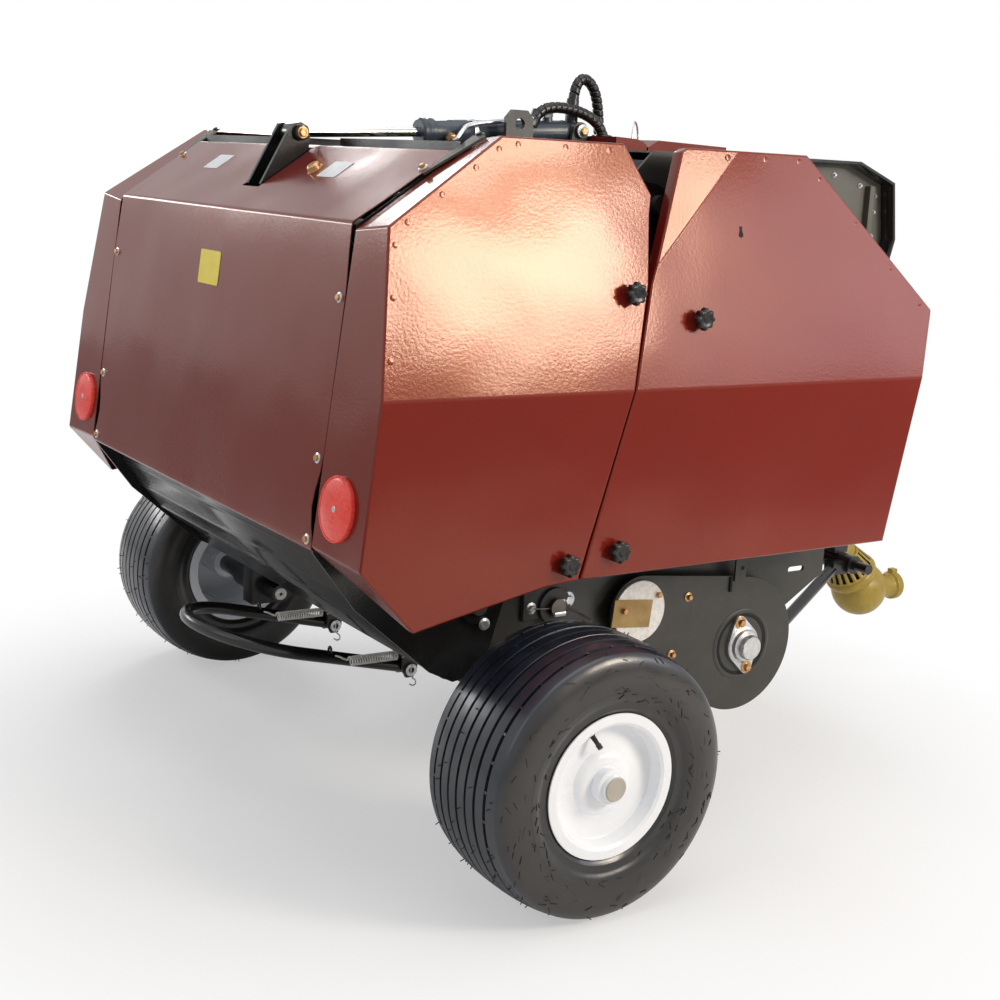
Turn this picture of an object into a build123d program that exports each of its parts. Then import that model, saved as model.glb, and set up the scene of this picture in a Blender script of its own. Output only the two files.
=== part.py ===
from build123d import *
import os
from math import cos, degrees, hypot, radians, sin, tan

# A mini round baler, drawn behind the tractor or carried on its three-point linkage.
# +X is the direction of travel, +Y the machine's left, +Z up, all in millimetres.
# Side outlines are drawn as (x, z) from the wheel axle's line over the ground.

# ---------------------------------------------------------------- driving sizes
# wheels
TYRE_R = 228.5
TYRE_W = 216
RIM_SEAT_R = 101
RIM_FLANGE_R = 119
RIM_W = 190
RIM_WALL = 4
WHEEL_OUTSET = 210      # wheel's centre plane, out from the wall
AXLE_R = 20
AXLE_INSET = 108        # the stub's inner end, in from the wall
HUB_R = 34
HUB_CAP_R = 22

# body
WALL_Y = 500            # outer face of the tailgate's walls
WALL_T = 6
WALL_STEP = 6           # the frame's walls stand this much further in
SHEET_T = 2.5
COVER_BULGE = 154       # the covers' crease, out from the wall
CREASE_Z = 828
UPPER_LEAN = 0.2036     # the covers lean in above the crease, per mm of height
LOWER_LEAN = 0.030      # and spread a little below it
COVER_TOP_Z = 1215
COVER_RETURN = 25
COVER_GAP = 5           # between the wall and the covers' deep flanges
SEAM_GAP = 6

# tailgate pivot and drum chamber
PIVOT_X, PIVOT_Z = 250, 1120
PIVOT_R = 15
CHAMBER_X, CHAMBER_Z = 45, 745
ROLLER_RING_R = 315
ROLLER_R = 46
ROLLER_WALL = 4
ROLLER_RIB = 4
ROLLER_RIBS = 8
ROLLER_SHAFT_R = 15
FRONT_ROLLER_ANGLES = (50, 17, -16, -82)
REAR_ROLLER_ANGLES = (85, 118, 151, 184, 217, 248)

# tailgate cylinder, measured between its pins
ROD_PIN_X, ROD_PIN_Z = -183, 1211
BASE_PIN_X, BASE_PIN_Z = 432, 1246
BARREL_R = 21
GLAND_R = 23
ROD_R = 9
BARREL_REACH = 357      # base pin to the gland's face
CYLINDER_PIN_R = 10
PIPE_Y = 28
PIPE_R = 5
LUG_T = 8
LUG_GAP = 44
TOP_GAP = 100           # half the opening in the tailgate's top, for the cylinder

# bale ramp
RAMP_PIVOT_X, RAMP_PIVOT_Z = 0, 229
RAMP_HALF_W = 155
RAMP_REACH = 378
RAMP_RISE = 14          # degrees
RAMP_TUBE_R = 12
RAMP_PIN_R = 6
RAMP_EAR_Y = 14         # half the gap between a pivot's two ears
RAMP_EAR_T = 6
SPRING_TAB_X = -14

# pickup
REEL_X, REEL_Z = 522, 310
REEL_INSET = 30         # the reel's bars end this far in from the wall
REEL_TIP_R = 120
REEL_CORE_R = 60
REEL_SHAFT_R = 12.5
TINE_BARS = 4
TINE_R = 3
TINE_PITCH = 67
BAND_R = 100            # bands bowed round the reel, with its tines between them
BAND_T = 3
BAND_GAP = 18
BAND_TOP, BAND_LOW = 107, -110          # the bow's two ends, in degrees round the reel
BAND_BAR = (445, 203)
SIDE_DISC_R = 130
SIDE_DISC_OUTSET = 12
SIDE_DISC_T = 6

# drive line
GEARBOX_X, GEARBOX_Z = 862, 760        # front face of the gearbox and its shaft's height
GEARBOX_SIZE = (130, 170, 190)
SHAFT_JOINT_X = 940
SHAFT_LENGTH = 727                     # between the two universal joints
SHAFT_DROP = 51.5                      # degrees below level when parked
SHAFT_GUARD_R = 30
BELL_R = 68
YOKE_REACH = 128
KNUCKLE_R = 20
CROSS_PIN_R = 6

# hitch
HITCH_X = 1000
HITCH_PIN_Z = 372
HITCH_PIN_R = 11
HITCH_PIN_LENGTH = 42
HITCH_HALF_SPAN = 340
TOP_LINK_X, TOP_LINK_Z = 985, 960
TOP_LINK_R = 9.75
STAND_Y = 210

# widths that follow from the wall
WHEEL_Y = WALL_Y + WHEEL_OUTSET
AXLE_INNER_Y = WALL_Y - AXLE_INSET
COVER_HALF_W = WALL_Y + COVER_BULGE
COVER_INNER_Y = WALL_Y + COVER_GAP
REEL_HALF_W = WALL_Y - REEL_INSET
SIDE_DISC_Y = WALL_Y + SIDE_DISC_OUTSET

RUNNING = 0.05          # radial clearance of a shaft in its bore
SEAT = 0.3              # clearance of a piece that rests beside another

# the reach of the whole machine, from its axle
SHAFT_END_X = SHAFT_JOINT_X + SHAFT_LENGTH * cos(radians(SHAFT_DROP))
REACH_FRONT = SHAFT_END_X + YOKE_REACH
REACH_REAR = RAMP_REACH * cos(radians(RAMP_RISE)) + RAMP_TUBE_R - RAMP_PIVOT_X
AXLE_X = (REACH_REAR - REACH_FRONT) / 2


# ---------------------------------------------------------------- shared shapes
def side_plane(y):
    """The side elevation at width y: local x forward from the axle, local y up."""
    return Plane(origin=(AXLE_X, y, 0), x_dir=(1, 0, 0), z_dir=(0, -1, 0))


def at(x, y, z):
    """A point of the machine, x from the axle."""
    return Vector(AXLE_X + x, y, z)


def plate(outline, y_from, y_to, mode=Mode.ADD):
    """A flat plate with a side outline, between two widths."""
    with BuildSketch(side_plane(y_from)) as side:
        with BuildLine():
            Polyline(*outline, close=True)
        make_face()
    extrude(side.sketch, amount=y_to - y_from, dir=(0, 1, 0), mode=mode)


def disc(x, z, radius, y_from, y_to, mode=Mode.ADD):
    """A round bar or hole across the machine."""
    with BuildSketch(side_plane(y_from)) as end:
        with Locations((x, z)):
            Circle(radius)
    extrude(end.sketch, amount=y_to - y_from, dir=(0, 1, 0), mode=mode)


def bar(start, end, radius, mode=Mode.ADD):
    """A round bar between two points."""
    run = end - start
    with BuildSketch(Plane(origin=start, z_dir=run)) as end_face:
        Circle(radius)
    extrude(end_face.sketch, amount=run.length, mode=mode)


def block(x_from, x_to, y_from, y_to, z_from, z_to, mode=Mode.ADD):
    """A rectangular block, x from the axle."""
    centre = at((x_from + x_to) / 2, (y_from + y_to) / 2, (z_from + z_to) / 2)
    with Locations(centre):
        Box(x_to - x_from, y_to - y_from, z_to - z_from, mode=mode)


def ring_point(angle, radius=ROLLER_RING_R):
    """A point of the roller ring, as (x, z)."""
    return (CHAMBER_X + radius * cos(radians(angle)), CHAMBER_Z + radius * sin(radians(angle)))


def save(name, built):
    built.part.label = name
    export_step(built.part, f"parts/{name}.step")


def save_mirrored(name, built):
    """Writes the opposite-hand twin of a finished piece."""
    with BuildPart() as twin:
        mirror(built.part, about=Plane.XZ)
    save(name, twin)


os.makedirs("parts", exist_ok=True)

# ---------------------------------------------------------------- side outlines
# seam between the frame and the tailgate, leaning forward as it rises
SEAM_LOW = (-38, 365)
SEAM_HIGH = (170, 1022)


def seam_x(z):
    share = (z - SEAM_LOW[1]) / (SEAM_HIGH[1] - SEAM_LOW[1])
    return SEAM_LOW[0] + share * (SEAM_HIGH[0] - SEAM_LOW[0])


REAR_TOP = (-319, 1077)
REAR_LOW = (-381, 570)
SLOPE_TOP = (-150, 1192)
BELLY_LOW = (-150, 333)

frame_wall_outline = [
    (seam_x(330), 330), SEAM_HIGH, (217, 1177), (249, 1209), (560, 1209), (743, 1010),
    (743, 422), (641, 360), (626, 244), (575, 240), (552, 334), (420, 300), (90, 305),
]
tailgate_wall_outline = [
    (seam_x(330) - SEAM_GAP, 330), (seam_x(1040) - SEAM_GAP, 1040), (60, 1192),
    (SLOPE_TOP[0] + 6, SLOPE_TOP[1] - 4), (REAR_TOP[0] + 4, REAR_TOP[1] - 5),
    (REAR_LOW[0] + 5, REAR_LOW[1]), (-300, 470), (BELLY_LOW[0] - 6, 345), (-110, 322),
]
rear_cover_outline = [
    (17, 526), (seam_x(828) - SEAM_GAP - 1, 828), (155, 996), (165, 1107), (171, 1136),
    (122, COVER_TOP_Z), (-113, COVER_TOP_Z), (-320, 1077), (-381, 577), (-288, 475),
    (-48, 521),
]
front_cover_outline = [
    (26, 526), (seam_x(828) + 1, 828), (161, 996), (250, COVER_TOP_Z - 6),
    (262, COVER_TOP_Z), (524, COVER_TOP_Z), (821, 950), (789, 828), (718, 526),
]


# ---------------------------------------------------------------- frame
frame_wall_in = WALL_Y - WALL_T - WALL_STEP
frame_wall_out = WALL_Y - WALL_STEP
with BuildPart() as frame_walls:
    for side in (-1, 1):
        plate(frame_wall_outline, side * frame_wall_in, side * frame_wall_out)
        # the tailgate's pivot pin
        disc(PIVOT_X, PIVOT_Z, PIVOT_R, side * frame_wall_in, side * (WALL_Y + 22))
        disc(PIVOT_X, PIVOT_Z, 24, side * (frame_wall_in - 12), side * frame_wall_in)
        # brackets that carry the front cover
        block(560, 600, *sorted((side * frame_wall_out, side * (WALL_Y + 60))), 1130, 1136)
        block(640, 680, *sorted((side * frame_wall_out, side * (WALL_Y + 110))), 600, 606)
        for angle in FRONT_ROLLER_ANGLES:
            disc(*ring_point(angle), 32, side * frame_wall_in, side * (WALL_Y + 8))
        # latch plate that meets the tailgate's lower corner, with its keeper
        plate([(26, 412), (26, 480), (70, 480), (78, 474), (118, 474), (118, 468), (60, 412)],
              side * frame_wall_in, side * (frame_wall_out + 8))
    for side in (-1, 1):
        for angle in FRONT_ROLLER_ANGLES:
            disc(*ring_point(angle), ROLLER_SHAFT_R + RUNNING,
                 side * (frame_wall_in - 1), side * (WALL_Y + 9), Mode.SUBTRACT)
        disc(REEL_X, REEL_Z, REEL_SHAFT_R + 12, side * (frame_wall_in - 1),
             side * (frame_wall_out + 1), Mode.SUBTRACT)
        with BuildSketch(side_plane(side * (frame_wall_in - 1))) as slot:
            with Locations((671, 436)):
                SlotOverall(42, 11)
        extrude(slot.sketch, amount=side * (WALL_T + 2), dir=(0, 1, 0), mode=Mode.SUBTRACT)
save("frame_walls", frame_walls)

BEAM_X, BEAM_Z, BEAM_SIZE, BEAM_WALL = 38, 281, 56, 5
with BuildPart() as axle_beam:
    block(BEAM_X - BEAM_SIZE / 2, BEAM_X + BEAM_SIZE / 2, -frame_wall_out, frame_wall_out,
          BEAM_Z - BEAM_SIZE / 2, BEAM_Z + BEAM_SIZE / 2)
    block(BEAM_X - BEAM_SIZE / 2 + BEAM_WALL, BEAM_X + BEAM_SIZE / 2 - BEAM_WALL,
          -frame_wall_out - 1, frame_wall_out + 1,
          BEAM_Z - BEAM_SIZE / 2 + BEAM_WALL, BEAM_Z + BEAM_SIZE / 2 - BEAM_WALL, Mode.SUBTRACT)
    # ears for the bale ramp's pivots
    for side in (-1, 1):
        for ear_y in (-RAMP_EAR_Y - RAMP_EAR_T, RAMP_EAR_Y):
            y_near = side * RAMP_HALF_W + ear_y
            plate([(-16, 300), (16, 300), (16, 229), (8, 213), (-8, 213), (-16, 229)],
                  y_near, y_near + RAMP_EAR_T)
        reach = RAMP_EAR_Y + RAMP_EAR_T + 3
        disc(RAMP_PIVOT_X, RAMP_PIVOT_Z, RAMP_PIN_R, side * RAMP_HALF_W - reach,
             side * RAMP_HALF_W + reach)
        # tab that holds the ramp's spring
        block(SPRING_TAB_X, BEAM_X - BEAM_SIZE / 2, side * RAMP_HALF_W - 3, side * RAMP_HALF_W + 3,
              270, 292)
save("axle_beam", axle_beam)

AXLE_Z = TYRE_R
with BuildPart() as axle_stubs:
    for side in (-1, 1):
        disc(0, AXLE_Z, AXLE_R, side * AXLE_INNER_Y, side * (WHEEL_Y + 78))
        # box bracket under the wall, with the stub through it
        low, high = sorted((side * 440, side * (frame_wall_in - 0)))
        plate([(-46, 196), (34, 196), (34, 252), (9.7, 252), (9.7, 303), (-46, 303)], low, high)
        disc(0, AXLE_Z, AXLE_R + 9, side * (WALL_Y + 20), side * (WALL_Y + 84))
save("axle_stubs", axle_stubs)

with BuildPart() as top_beams:
    # cross tubes under the cylinder's base and under the lifting eye
    block(400, 464, -frame_wall_in, frame_wall_in, 1140, 1192)
    block(244, 290, -frame_wall_in, frame_wall_in, 1146, 1192)
    for side in (-1, 1):
        low, high = sorted((side * LUG_GAP / 2, side * (LUG_GAP / 2 + LUG_T)))
        plate([(404, 1192), (448, 1192), (450, 1246), (414, 1246)], low, high)
        disc(BASE_PIN_X, BASE_PIN_Z, 18, side * LUG_GAP / 2, side * (LUG_GAP / 2 + LUG_T))
    disc(BASE_PIN_X, BASE_PIN_Z, CYLINDER_PIN_R, -LUG_GAP / 2 - LUG_T - 6, LUG_GAP / 2 + LUG_T + 6)
    # lifting eye
    plate([(236, 1192), (298, 1192), (298, 1262), (284, 1277), (250, 1277), (236, 1262)], -58, -48)
    disc(267, 1251, 11, -60, -46, Mode.SUBTRACT)
save("top_beams", top_beams)

with BuildPart() as front_panel:
    # closes the front of the chamber above the pickup, and carries the gearbox
    plate([(737, 640), (743, 640), (743, 1010), (737, 1010)], -frame_wall_in, frame_wall_in)
    plate([(737, 640), (660, 545), (664, 541), (743, 638)], -frame_wall_in, frame_wall_in)
    block(690, 737, -frame_wall_in, frame_wall_in, 700, 740)
save("front_panel", front_panel)

FLOOR_FRONT_X, FLOOR_FRONT_Z = 401, 376
FLOOR_T = 4
band_count = int(2 * (REEL_HALF_W - 20) / TINE_PITCH)


def band_point(angle, radius):
    return (REEL_X + radius * cos(radians(angle)), REEL_Z + radius * sin(radians(angle)))


with BuildPart() as feed_floor:
    plate([(FLOOR_FRONT_X, FLOOR_FRONT_Z), (372, 374), (150, 354), (128, 392), (124, 390),
           (147, 350), (372, 370), (FLOOR_FRONT_X, FLOOR_FRONT_Z - FLOOR_T)],
          -frame_wall_in, frame_wall_in)
    # bands that bow round the reel, a tine's gap apart, from the floor to a bar below
    inner_r = BAND_R - BAND_T
    for number in range(band_count):
        y = (number - (band_count - 1) / 2) * TINE_PITCH
        with BuildSketch(side_plane(y - (TINE_PITCH - BAND_GAP) / 2)) as strip:
            with BuildLine():
                Line((FLOOR_FRONT_X - 2, FLOOR_FRONT_Z), band_point(BAND_TOP, BAND_R))
                ThreePointArc(band_point(BAND_TOP, BAND_R), band_point(0, BAND_R),
                              band_point(BAND_LOW, BAND_R))
                Polyline(band_point(BAND_LOW, BAND_R), BAND_BAR, (BAND_BAR[0], BAND_BAR[1] + BAND_T),
                         band_point(BAND_LOW, inner_r))
                ThreePointArc(band_point(BAND_LOW, inner_r), band_point(0, inner_r),
                              band_point(BAND_TOP, inner_r))
                Polyline(band_point(BAND_TOP, inner_r), (FLOOR_FRONT_X - 2, FLOOR_FRONT_Z - BAND_T),
                         (FLOOR_FRONT_X - 2, FLOOR_FRONT_Z))
            make_face()
        extrude(strip.sketch, amount=TINE_PITCH - BAND_GAP, dir=(0, 1, 0))
    disc(*BAND_BAR, 6, -SIDE_DISC_Y, SIDE_DISC_Y)
save("feed_floor", feed_floor)


# ---------------------------------------------------------------- side covers
def cover_y(z):
    """Half width over the covers at a height."""
    lean = UPPER_LEAN if z > CREASE_Z else LOWER_LEAN
    return COVER_HALF_W - (z - CREASE_Z) * lean


def cover_section(inset, y_inner):
    """Half section across the machine under the cover's outer skin, less an inset."""
    top, low = COVER_TOP_Z + 50, 400
    return [
        (y_inner, low),
        (COVER_HALF_W - inset + (CREASE_Z - low) * LOWER_LEAN, low),
        (COVER_HALF_W - inset, CREASE_Z),
        (COVER_HALF_W - inset - (top - CREASE_Z) * UPPER_LEAN, top),
        (y_inner, top),
    ]


def cover_block(outline, inset, y_inner, shrink):
    """A side outline carried inward from the cover's skin, as a private solid."""
    with BuildPart(mode=Mode.PRIVATE) as solid:
        with BuildSketch(Plane(origin=(AXLE_X - 500, 0, 0), x_dir=(0, 1, 0), z_dir=(1, 0, 0))):
            with BuildLine():
                Polyline(*cover_section(inset, y_inner), close=True)
            make_face()
        extrude(amount=1500)
        with BuildSketch(side_plane(y_inner - 10)):
            with BuildLine():
                Polyline(*outline, close=True)
            make_face()
            if shrink:
                offset(amount=-shrink, kind=Kind.INTERSECTION, mode=Mode.REPLACE)
        extrude(amount=COVER_BULGE + 100, dir=(0, 1, 0), mode=Mode.INTERSECT)
    return solid.part


def cover(outline, deep_outline):
    """A folded cover: skin, deep flanges round deep_outline's own edges, short returns elsewhere."""
    shell = cover_block(outline, 0, COVER_INNER_Y, 0)
    shell -= cover_block(outline, SHEET_T, COVER_INNER_Y - 1, SHEET_T)
    shell -= cover_block(deep_outline, COVER_RETURN, COVER_INNER_Y - 1, 0)
    return shell


def flange_taper(wide_end, narrow_end):
    """A wedge that trims a deep flange from full depth at one corner to a return at the next."""
    with BuildPart(mode=Mode.PRIVATE) as wedge:
        with BuildSketch(Plane(origin=at(0, 0, 300), x_dir=(1, 0, 0), z_dir=(0, 0, 1))):
            with BuildLine():
                Polyline((wide_end[0] - 20, COVER_INNER_Y - 2), (wide_end[0] + 4, COVER_INNER_Y - 2),
                         (narrow_end[0] + 4, COVER_HALF_W - COVER_RETURN),
                         (narrow_end[0] + 4, COVER_INNER_Y - 2), close=True)
            make_face()
        extrude(amount=wide_end[1] - 300 - 1)
    return wedge.part


# where only a short return stands: everything forward of the deep rear and slope flanges
rear_cover_open = [
    (-288 + SHEET_T, 400), (-288 + SHEET_T, 475 + SHEET_T), (-381 + SHEET_T, 577),
    (-320 + SHEET_T, 1077 - SHEET_T / 2), (-113, COVER_TOP_Z - SHEET_T), (-113, 1400),
    (300, 1400), (300, 400),
]
front_cover_open = [
    (-100, 400), (-100, 1400), (524, 1400), (524, COVER_TOP_Z - SHEET_T),
    (821 - 1.4 * SHEET_T, 950), (789 - SHEET_T, 828), (718 - SHEET_T, 528), (718, 400),
]
KNOB_HOLE_R = 5.5
rear_knobs = ((115, 982), (-11, 556))
front_knobs = ((254, 941), (89, 569))

with BuildPart() as rear_cover_left:
    add(cover(rear_cover_outline, rear_cover_open))
    add(flange_taper(wide_end=(-381, 577), narrow_end=(-288, 475)), mode=Mode.SUBTRACT)
    for x, z in rear_knobs:
        disc(x, z, KNOB_HOLE_R, cover_y(z) - 20, cover_y(z) + 10, Mode.SUBTRACT)
save("rear_cover_left", rear_cover_left)
save_mirrored("rear_cover_right", rear_cover_left)

with BuildPart() as front_cover_left:
    add(cover(front_cover_outline, front_cover_open))
    for x, z in front_knobs:
        disc(x, z, KNOB_HOLE_R, cover_y(z) - 20, cover_y(z) + 10, Mode.SUBTRACT)
save("front_cover_left", front_cover_left)
save_mirrored("front_cover_right", front_cover_left)


KNOB_R, KNOB_LOBES, KNOB_DEPTH, STUD_R = 19, 8, 20, 5


def star_knobs(places, wall_out):
    """Lobed clamping knobs on studs from the wall, both sides of the machine."""
    for side in (-1, 1):
        for x, z in places:
            face = cover_y(z - KNOB_R) + SEAT
            disc(x, z, STUD_R, side * wall_out, side * (face + 4))
            disc(x, z, KNOB_R - 5, side * face, side * (face + KNOB_DEPTH))
            for lobe in range(KNOB_LOBES):
                turn = radians(360 / KNOB_LOBES * lobe)
                disc(x + (KNOB_R - 5) * cos(turn), z + (KNOB_R - 5) * sin(turn), 5,
                     side * (face + 5), side * (face + KNOB_DEPTH))


with BuildPart() as frame_knobs:
    star_knobs(front_knobs, frame_wall_out)
save("frame_knobs", frame_knobs)

with BuildPart() as tailgate_knobs:
    star_knobs(rear_knobs, WALL_Y)
save("tailgate_knobs", tailgate_knobs)


# ---------------------------------------------------------------- front box and lid
box_outline = [
    (560, 1211.5), (738, 1211.5), (833, 1176), (849, 1070), (838, 1030), (743, 1030),
    (743, 1010.5), (560, 1209.5),
]
BOX_HALF_W = WALL_Y - 2
END_RECESS = 36
with BuildPart() as twine_box:
    with BuildSketch(side_plane(-BOX_HALF_W)):
        with BuildLine():
            Polyline(*box_outline, close=True)
        make_face()
        offset(amount=-SHEET_T, kind=Kind.INTERSECTION, mode=Mode.SUBTRACT)
    extrude(amount=2 * BOX_HALF_W, dir=(0, 1, 0))
    for side in (-1, 1):
        face = side * (BOX_HALF_W - END_RECESS)
        plate(box_outline, face - side * SHEET_T, face)
save("twine_box", twine_box)

with BuildPart() as top_lid:
    plate([(534, 1211.5), (534, 1222), (560, 1236), (738, 1231), (738, 1211.5)], -120, 480)
    plate([(453, 1209.3), (453, 1238), (506, 1236), (530, 1226), (530, 1209.3)], -120, 120)
save("top_lid", top_lid)

with BuildPart() as deck:
    # sheet deck between the walls, from the eye beam to the front box
    plate([(300, 1206), (556, 1206), (556, 1209), (300, 1209)], -frame_wall_in, frame_wall_in)
    block(380, 490, -70, 70, 1180, 1220, Mode.SUBTRACT)
save("deck", deck)


# ---------------------------------------------------------------- tailgate
tailgate_wall_in = WALL_Y - WALL_T
with BuildPart() as tailgate_walls:
    for side in (-1, 1):
        plate(tailgate_wall_outline, side * tailgate_wall_in, side * WALL_Y)
        # hinge arm outside the frame's wall
        plate([(40, 1060), (150, 1060), (262, 1088), (278, 1104), (282, 1120), (274, 1142),
               (250, 1152), (180, 1165), (40, 1180)], side * WALL_Y, side * (WALL_Y + 8))
        for angle in REAR_ROLLER_ANGLES:
            disc(*ring_point(angle), 32, side * WALL_Y, side * (WALL_Y + 8))
        # closes the tailgate's top beside the cylinder
        block(-140, 28, *sorted((side * TOP_GAP, side * WALL_Y)), 1190, 1204)
    for side in (-1, 1):
        for angle in REAR_ROLLER_ANGLES:
            disc(*ring_point(angle), ROLLER_SHAFT_R + RUNNING,
                 side * (tailgate_wall_in - 1), side * (WALL_Y + 9), Mode.SUBTRACT)
        disc(PIVOT_X, PIVOT_Z, PIVOT_R + RUNNING, side * (WALL_Y - 1), side * (WALL_Y + 9),
             Mode.SUBTRACT)
save("tailgate_walls", tailgate_walls)

BELLY_X, BELLY_Z, BELLY_R = 48, 731, 420
BELLY_ANGLES = (203, 222, 240)


def belly_point(angle, inset=0):
    """A point of the belly's arc round the chamber, inset by the sheet's thickness."""
    radius = BELLY_R - inset
    return (BELLY_X + radius * cos(radians(angle)), BELLY_Z + radius * sin(radians(angle)))


with BuildPart() as belly:
    # sheet bent round the tailgate's lower rollers, with a flat lower edge
    with BuildSketch(side_plane(-tailgate_wall_in)):
        with BuildLine():
            ThreePointArc(*[belly_point(angle) for angle in BELLY_ANGLES])
            Polyline(belly_point(BELLY_ANGLES[2]), (-124, 326), (-60, 322), (-60, 322 + SHEET_T),
                     (-123, 326 + SHEET_T), belly_point(BELLY_ANGLES[2], SHEET_T))
            ThreePointArc(*[belly_point(angle, SHEET_T) for angle in reversed(BELLY_ANGLES)])
            Line(belly_point(BELLY_ANGLES[0], SHEET_T), belly_point(BELLY_ANGLES[0]))
        make_face()
    extrude(amount=2 * tailgate_wall_in, dir=(0, 1, 0))
save("belly", belly)

with BuildPart() as tailgate_tubes:
    # cross tubes that tie the tailgate's walls together
    disc(-212, 1098, 24, -tailgate_wall_in, tailgate_wall_in)
    disc(20, 1168, 18, -tailgate_wall_in, tailgate_wall_in)
    # two-plate lug for the cylinder's rod
    for side in (-1, 1):
        low, high = sorted((side * LUG_GAP / 2, side * (LUG_GAP / 2 + LUG_T)))
        plate([(-236, 1095), (-190, 1090), (-163, 1198), (-168, 1222), (-183, 1229), (-200, 1226),
               (-258, 1119)], low, high)
        disc(ROD_PIN_X, ROD_PIN_Z, CYLINDER_PIN_R + 2, side * (LUG_GAP / 2 + LUG_T),
             side * (LUG_GAP / 2 + LUG_T + 7))
save("tailgate_tubes", tailgate_tubes)

with BuildPart() as rear_panel:
    half = COVER_INNER_Y - 3
    plate([REAR_TOP, SLOPE_TOP, (SLOPE_TOP[0] + 1.4, SLOPE_TOP[1] - 2.1),
           (REAR_TOP[0] + 2.1, REAR_TOP[1] - 1.6), (REAR_LOW[0] + SHEET_T, REAR_LOW[1]),
           REAR_LOW], -half, half)
    block(REAR_LOW[0] + SHEET_T, REAR_LOW[0] + 20, -tailgate_wall_in, tailgate_wall_in,
          REAR_LOW[1], REAR_LOW[1] + SHEET_T)
    # the lug's plates pass through a slot in the sloping part
    block(-265, -160, -LUG_GAP / 2 - LUG_T - 3, LUG_GAP / 2 + LUG_T + 3, 1090, 1230, Mode.SUBTRACT)
save("rear_panel", rear_panel)

REFLECTOR_R = 51
REFLECTOR_Y, REFLECTOR_Z = 572, 655


def rear_x(z):
    """The covers' rear face at a height."""
    (low_x, low_z), (high_x, high_z) = (-381, 577), (-320, 1077)
    return low_x + (z - low_z) / (high_z - low_z) * (high_x - low_x)


with BuildPart() as reflectors:
    for side in (-1, 1):
        place = Plane(origin=at(rear_x(REFLECTOR_Z) - 0.05, side * REFLECTOR_Y, REFLECTOR_Z),
                      z_dir=(-500, 0, 61))
        with BuildSketch(place):
            Circle(REFLECTOR_R)
        extrude(amount=9)
save("reflectors", reflectors)


# ---------------------------------------------------------------- chamber rollers
SPROCKET_R = 34
SPROCKET_OUTSET = 22
CHAIN_W = 12
CHAIN_T = 9


def chain_loop(angles):
    """A roller chain round the sprockets of some rollers, as a closed band."""
    middle = WALL_Y + SPROCKET_OUTSET + (CHAIN_W - 2) / 2
    inner = SPROCKET_R + SEAT
    with BuildSketch(side_plane(middle - CHAIN_W / 2)) as band:
        with BuildLine():
            Polyline(*[ring_point(angle) for angle in angles], close=True)
        make_face()
        offset(amount=inner + CHAIN_T, kind=Kind.ARC, mode=Mode.REPLACE)
        with BuildLine():
            Polyline(*[ring_point(angle) for angle in angles], close=True)
        hollow = make_face(mode=Mode.PRIVATE)
        offset(hollow, amount=inner, kind=Kind.ARC, mode=Mode.SUBTRACT)
    extrude(band.sketch, amount=CHAIN_W, dir=(0, 1, 0))


def roller(x, z, shaft_end):
    """A ribbed steel drum on a through shaft."""
    half = frame_wall_in - 4
    disc(x, z, ROLLER_R, -half, half)
    for rib in range(ROLLER_RIBS):
        turn = radians(360 / ROLLER_RIBS * rib)
        disc(x + ROLLER_R * cos(turn), z + ROLLER_R * sin(turn), ROLLER_RIB, -half, half)
    disc(x, z, ROLLER_R - ROLLER_WALL, ROLLER_WALL - half, half - ROLLER_WALL, Mode.SUBTRACT)
    disc(x, z, ROLLER_SHAFT_R, -shaft_end, shaft_end + SPROCKET_OUTSET)
    disc(x, z, SPROCKET_R, WALL_Y + SPROCKET_OUTSET, WALL_Y + SPROCKET_OUTSET + CHAIN_W - 2)


for place, angles in (("front", FRONT_ROLLER_ANGLES), ("rear", REAR_ROLLER_ANGLES)):
    for number, angle in enumerate(angles, start=1):
        with BuildPart() as drum:
            roller(*ring_point(angle), WALL_Y + 18)
        save(f"{place}_roller_{number}", drum)


with BuildPart() as frame_chain:
    chain_loop(FRONT_ROLLER_ANGLES[:3])
save("frame_chain", frame_chain)

with BuildPart() as tailgate_chain:
    chain_loop(REAR_ROLLER_ANGLES[:5])
save("tailgate_chain", tailgate_chain)


# ---------------------------------------------------------------- cylinder
cylinder_run = Vector(ROD_PIN_X - BASE_PIN_X, 0, ROD_PIN_Z - BASE_PIN_Z)
cylinder_dir = cylinder_run.normalized()
base_pin = at(BASE_PIN_X, 0, BASE_PIN_Z)
rod_pin = at(ROD_PIN_X, 0, ROD_PIN_Z)
EYE_HALF_W = LUG_GAP / 2 - 2

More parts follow.
